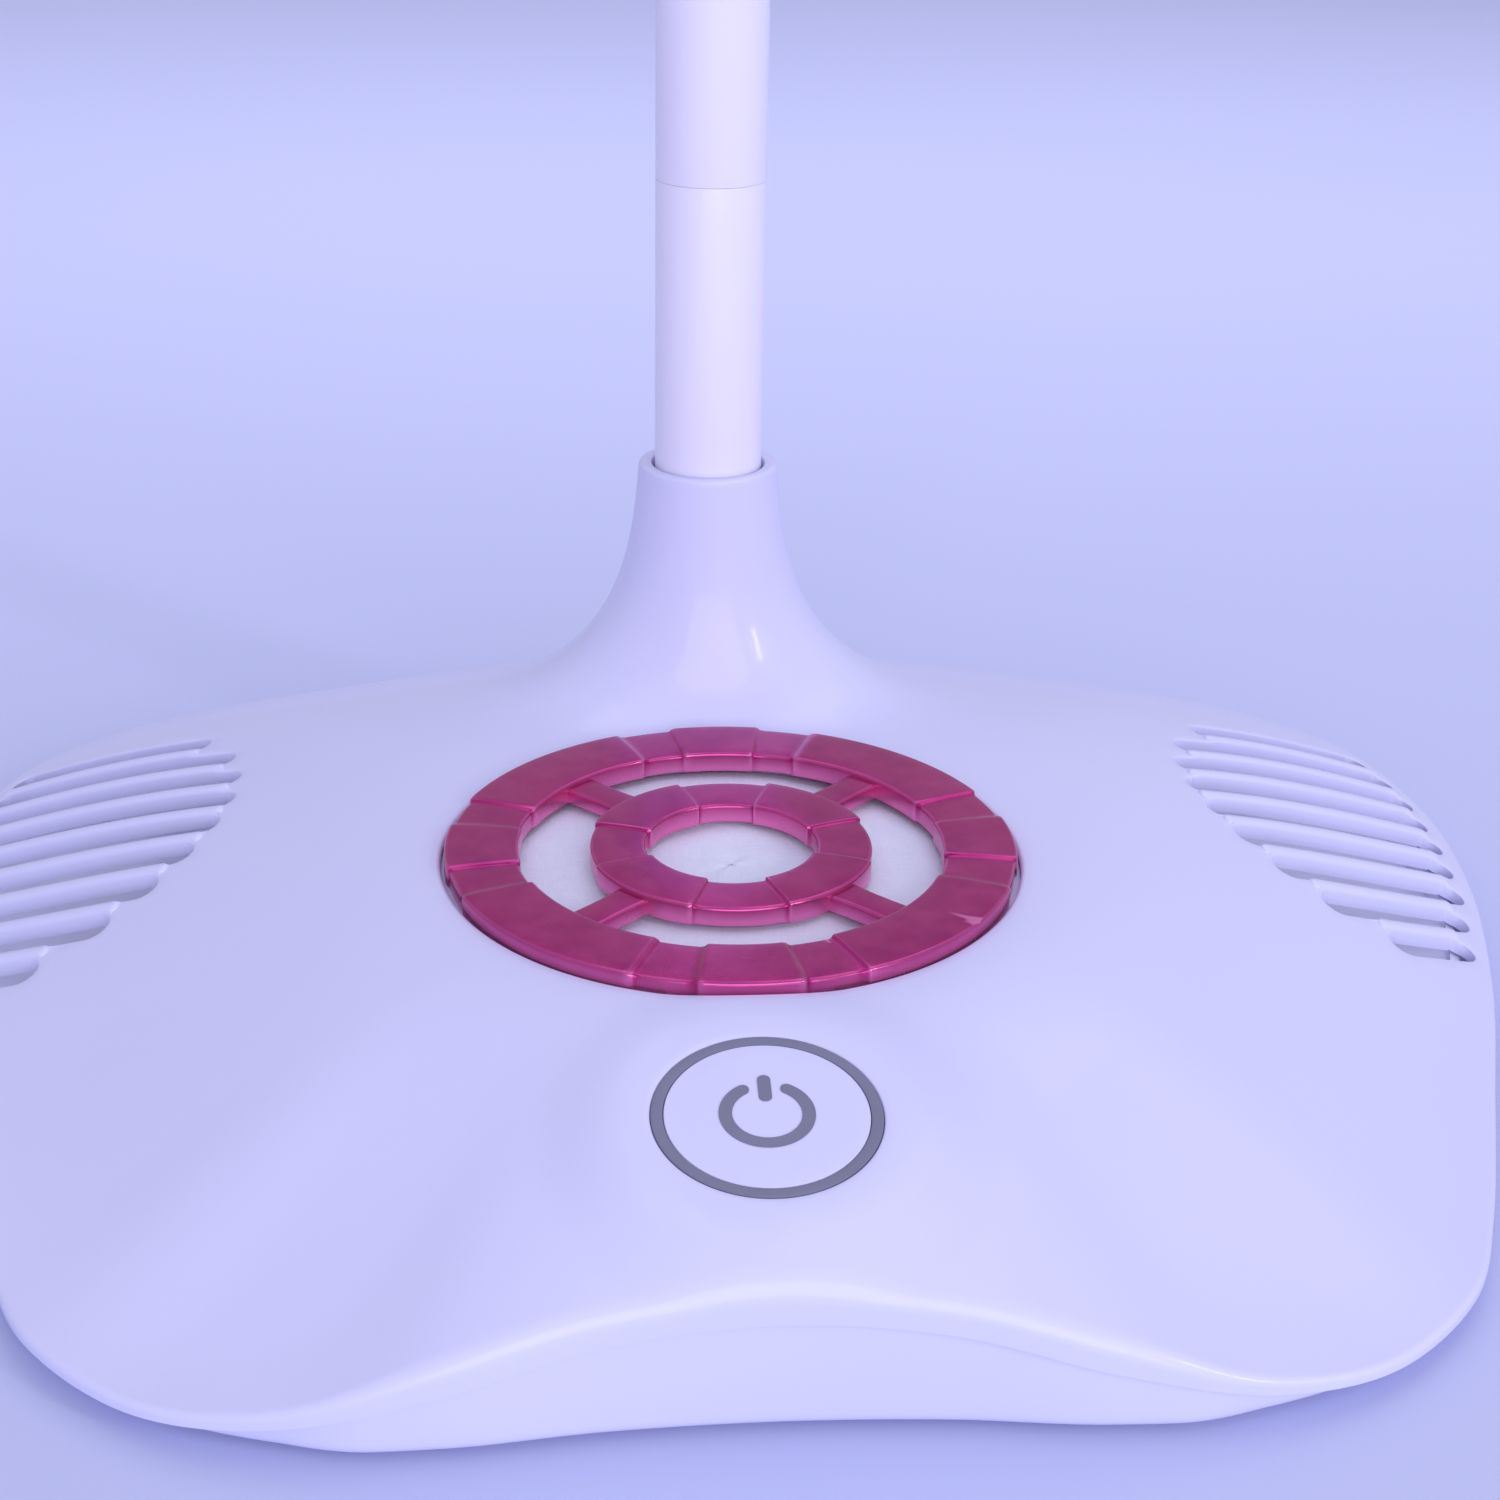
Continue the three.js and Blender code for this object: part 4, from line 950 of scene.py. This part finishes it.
def make_marks():
    """The power mark: an arc open at its top and a bar, both with round ends."""
    half, r, low, high = 0.98, 6.1, 0.03, 0.14
    gap = math.radians(23)
    turns = np.concatenate([np.linspace(0, 0.139, 9), np.linspace(0.16, 6.123, 76),
                            np.linspace(6.144, 2 * math.pi, 9)])
    sweep = (math.pi - gap) / math.pi
    arc = [(r * math.sin(gap + a * sweep), r * math.cos(gap + a * sweep)) for a in turns]
    heights = np.concatenate([np.linspace(2.6, 3.45, 9), np.linspace(3.6, 7.2, 8),
                              np.linspace(7.35, 8.2, 9)])
    bar = [(0, y) for y in heights]
    for name, line, replaced in (("power_arc_mark", arc, "power_symbol_arc"),
                                 ("power_bar_mark", bar, "power_symbol_bar")):
        line = [np.array(p) for p in line]
        along = np.append(0, np.cumsum([np.linalg.norm(b - a) for a, b in zip(line, line[1:])]))
        sections = []
        for k, p in enumerate(line):
            d = line[min(k + 1, len(line) - 1)] - line[max(k - 1, 0)]
            n = np.array([-d[1], d[0]]) / np.linalg.norm(d)
            near_end = min(along[k], along[-1] - along[k], half)
            wide = max(0.02, math.sqrt(half ** 2 - (half - near_end) ** 2))
            left, right = p + n * wide, p - n * wide
            sections.append([(*left, low), (*left, high), (*right, high), (*right, low)])
        bm = bmesh.new()
        add_loft(bm, sections, wrap=False, caps=(True, True))
        bmesh.ops.transform(bm, matrix=ON_BUTTON, verts=bm.verts)
        ob = bpy.data.objects.new(name, finish_mesh(bm, name))
        link(ob, "button", PRINT, replaces=[replaced], slot="mark_grey")


make_marks()

# ---------------------------------------------------------------- stem
SEAM, STEM_TOP = 138.6, 316.0
for _name, _low, _high, _node in (("stem_tube_lower", 15.4, SEAM + 0.13, "stem_lower"),
                                  ("stem_tube_upper", SEAM + 0.18, STEM_TOP, "stem_upper")):
    _tube = fillet([(9.3, _low), (STEM_R, _low), (STEM_R, _high), (9.3, _high)], 0.08, 3)
    lathe(_name, _tube, "stem", TUBE_PAINTED_LIGHT, (0, STEM_Y, 0), 128, replaces=[_node], slot="shell_white")

# ---------------------------------------------------------------- lamp head
FRONT, REAR, HALF, AXIS_Z, TOP, BOTTOM = -94.0, 92.0, 30.0, 340.0, 347.6, 333.5
HEAD_Y = (FRONT + REAR) / 2


def head_plan(inset, corner=26.0, steps=20):
    w, l, c = HALF - inset, (REAR - FRONT) / 2 - inset, max(corner - inset, 0.5)
    out = []
    for sx, sy, start in ((1, 1, 0), (-1, 1, 90), (-1, -1, 180), (1, -1, 270)):
        for k in range(steps + 1):
            a = math.radians(start + 90 * k / steps)
            out.append((sx * (w - c) + c * math.cos(a), HEAD_Y + sy * (l - c) + c * math.sin(a)))
    return out


def head_solid(bm, layers):
    loops = [[(x, y, z) for x, y in head_plan(inset)] for inset, z in layers]
    add_loft(bm, loops, wrap=False, caps=(True, True))


ACROSS_STEM = Matrix.Translation((0, STEM_Y * MM, AXIS_Z * MM)) @ Matrix.Rotation(math.pi / 2, 4, "Y")


def stem_gap(bm):
    add_block(bm, (-4.6, STEM_Y - 28, BOTTOM - 3), (4.6, REAR + 2, TOP + 3))


def make_lamp_cover():
    bm = bmesh.new()
    crown = [(0.35, 337.2), (0.1, 337.3), (0, 337.6), (0, 342.6)]
    crown += [(5.0 * (1 - math.cos(a)), 342.6 + 4.5 * math.sin(a)) for a in np.linspace(0.12, 1.45, 10)]
    crown += [(9, 347.25), (16, 347.5), (22, 347.58)]
    head_solid(bm, crown)
    ob = bpy.data.objects.new("lamp_cover_shell", finish_mesh(bm, "lamp_cover_shell", 40))
    link(ob, "lamp_head", WHITE, replaces=["lamp_cover"], slot="shell_white")

    def pocket(b):
        head_solid(b, [(2.2, 330), (2.2, 343.6)])

    def pin(b):
        add_rod(b, 2.1, -12, 12, 32)
        bmesh.ops.transform(b, matrix=ACROSS_STEM, verts=b.verts)

    room = tool_mesh(pocket)

    def keep(b):
        add_block(b, (-14, STEM_Y - 31, 325), (14, REAR + 2, 345))

    carve(room, [tool_mesh(keep)])
    carve(ob, [room, tool_mesh(stem_gap), tool_mesh(pin)])


def make_bezel():
    bm = bmesh.new()
    head_solid(bm, [(2.0, 333.5), (1.1, 333.6), (0.6, 334.0), (0.4, 334.6), (0.4, 336.7), (0.7, 337.0)])
    ob = bpy.data.objects.new("lamp_bezel_frame", finish_mesh(bm, "lamp_bezel_frame", 40))
    link(ob, "lamp_head", WHITE, replaces=["lamp_bezel"], slot="shell_white")

    def window(b):
        add_block(b, (-21, FRONT + 12, 330), (21, 44, 340))

    def pin_room(b):
        add_block(b, (-14.4, STEM_Y - 6, 334.8), (14.4, STEM_Y + 6, 340))

    carve(ob, [tool_mesh(window), tool_mesh(stem_gap), tool_mesh(pin_room)])


make_lamp_cover()
make_bezel()
refined("lamp_diffuser", "lamp_head", MILK, 0.4, 3)
refined("hinge_block", "stem", WHITE, 0.3, 3)

_pin = fillet([(0, -11.6), (1.9, -11.6), (1.9, 11.6), (0, 11.6)], [0, 0.6, 0.6, 0], 4)
lathe("hinge_pin_domed", _pin, "lamp_head", STEEL, segments=40, replaces=["hinge_pin"], slot="steel",
      turn=ACROSS_STEM)

# ---------------------------------------------------------------- pieces seen through the slots and the well
for _name, _body, _material, _width in (
    ("exhaust_duct_left", "base", INNER, 0.2), ("exhaust_duct_right", "base", INNER, 0.2),
    ("blower_housing", "base", INNER, 0.25), ("blower_cover", "base", INNER, 0.25),
    ("impeller", "rotor", BLACK, 0.12), ("dc_inlet", "base", BLACK, 0.12),
    ("ballast_plate", "base", STEEL, 0.3), ("controller_chip", "base", CHIP, 0.12),
    ("board_connector", "base", INNER, 0.2), ("stem_nut", "stem", STEEL, 0.25),
):
    refined(_name, _body, _material, _width)

CARRIED = {
    "switch_body": BLACK, "switch_plunger": BLACK, "magnet_ring": MAGNET, "motor_lead": SHEATH,
    "lamp_lead": SHEATH, "stem_joiner": STEEL, "stem_end_plug": STEEL, "rotor_cup": STEEL,
    "motor_shaft": STEEL, "shaft_clip": STEEL,
    "bearing_lower": STEEL, "bearing_upper": STEEL, "stator_core": LAMINATED, "button_spring": STEEL,
    "board_screw_left": STEEL, "board_screw_right": STEEL, "threaded_nipple": BRASS, "bearing_tube": BRASS,
    "friction_washer": RUBBER, "control_board": BOARD, "led_board": BOARD,
    **{f"stator_coil_{k}": WINDING for k in (1, 2, 3, 4)},
}
for _name, _material in CARRIED.items():
    NODES[_name].data.materials.clear()
    NODES[_name].data.materials.append(_material)


# ---------------------------------------------------------------- stage and light
def make_stage():
    bm = bmesh.new()
    bmesh.ops.create_grid(bm, x_segments=8, y_segments=8, size=6)
    mesh = bpy.data.meshes.new("floor")
    bm.to_mesh(mesh)
    bm.free()
    floor = bpy.data.objects.new("floor", mesh)
    bpy.context.scene.collection.objects.link(floor)
    m, tree, shader = new_material("stage_floor", Roughness=0.85)
    shader.inputs["Specular IOR Level"].default_value = 0.2
    clouds = ranged(tree, noise(tree, place(tree), 1.3, 2.0), 0, 1)
    tone = mix_colours(tree, clouds, (0.62, 0.65, 0.90), (0.60, 0.63, 0.88))
    tree.links.new(tone, shader.inputs["Base Color"])
    floor.data.materials.append(m)


def area_light(name, at, aim, size, power, colour):
    data = bpy.data.lights.new(name, "AREA")
    data.shape = "RECTANGLE"
    data.size, data.size_y = size
    data.energy = power
    data.color = colour
    ob = bpy.data.objects.new(name, data)
    ob.location = at
    ob.rotation_euler = (Vector(aim) - Vector(at)).to_track_quat("-Z", "Y").to_euler()
    bpy.context.scene.collection.objects.link(ob)


make_stage()
TINT = (0.84, 0.83, 1.0)
area_light("overhead", (0.15, 0.30, 1.0), (0, 0, 0), (0.9, 0.9), 2.5, TINT)
area_light("front_fill", (0.15, -1.45, 0.55), (0, 0, 0.08), (1.4, 0.9), 11.6, TINT)
area_light("strip", (0.83, -0.71, 0.52), (0, 0.08, 0.1), (0.08, 0.36), 1.7, (0.95, 0.93, 1.0))
area_light("backdrop", (0.1, 0.7, 1.0), (0.1, 2.2, 0), (2.4, 1.0), 10.0, TINT)
_world = bpy.data.worlds.new("studio")
_world.use_nodes = True
_world.node_tree.nodes["Background"].inputs["Color"].default_value = (0.62, 0.63, 0.80, 1)
_world.node_tree.nodes["Background"].inputs["Strength"].default_value = 0.78
bpy.context.scene.world = _world
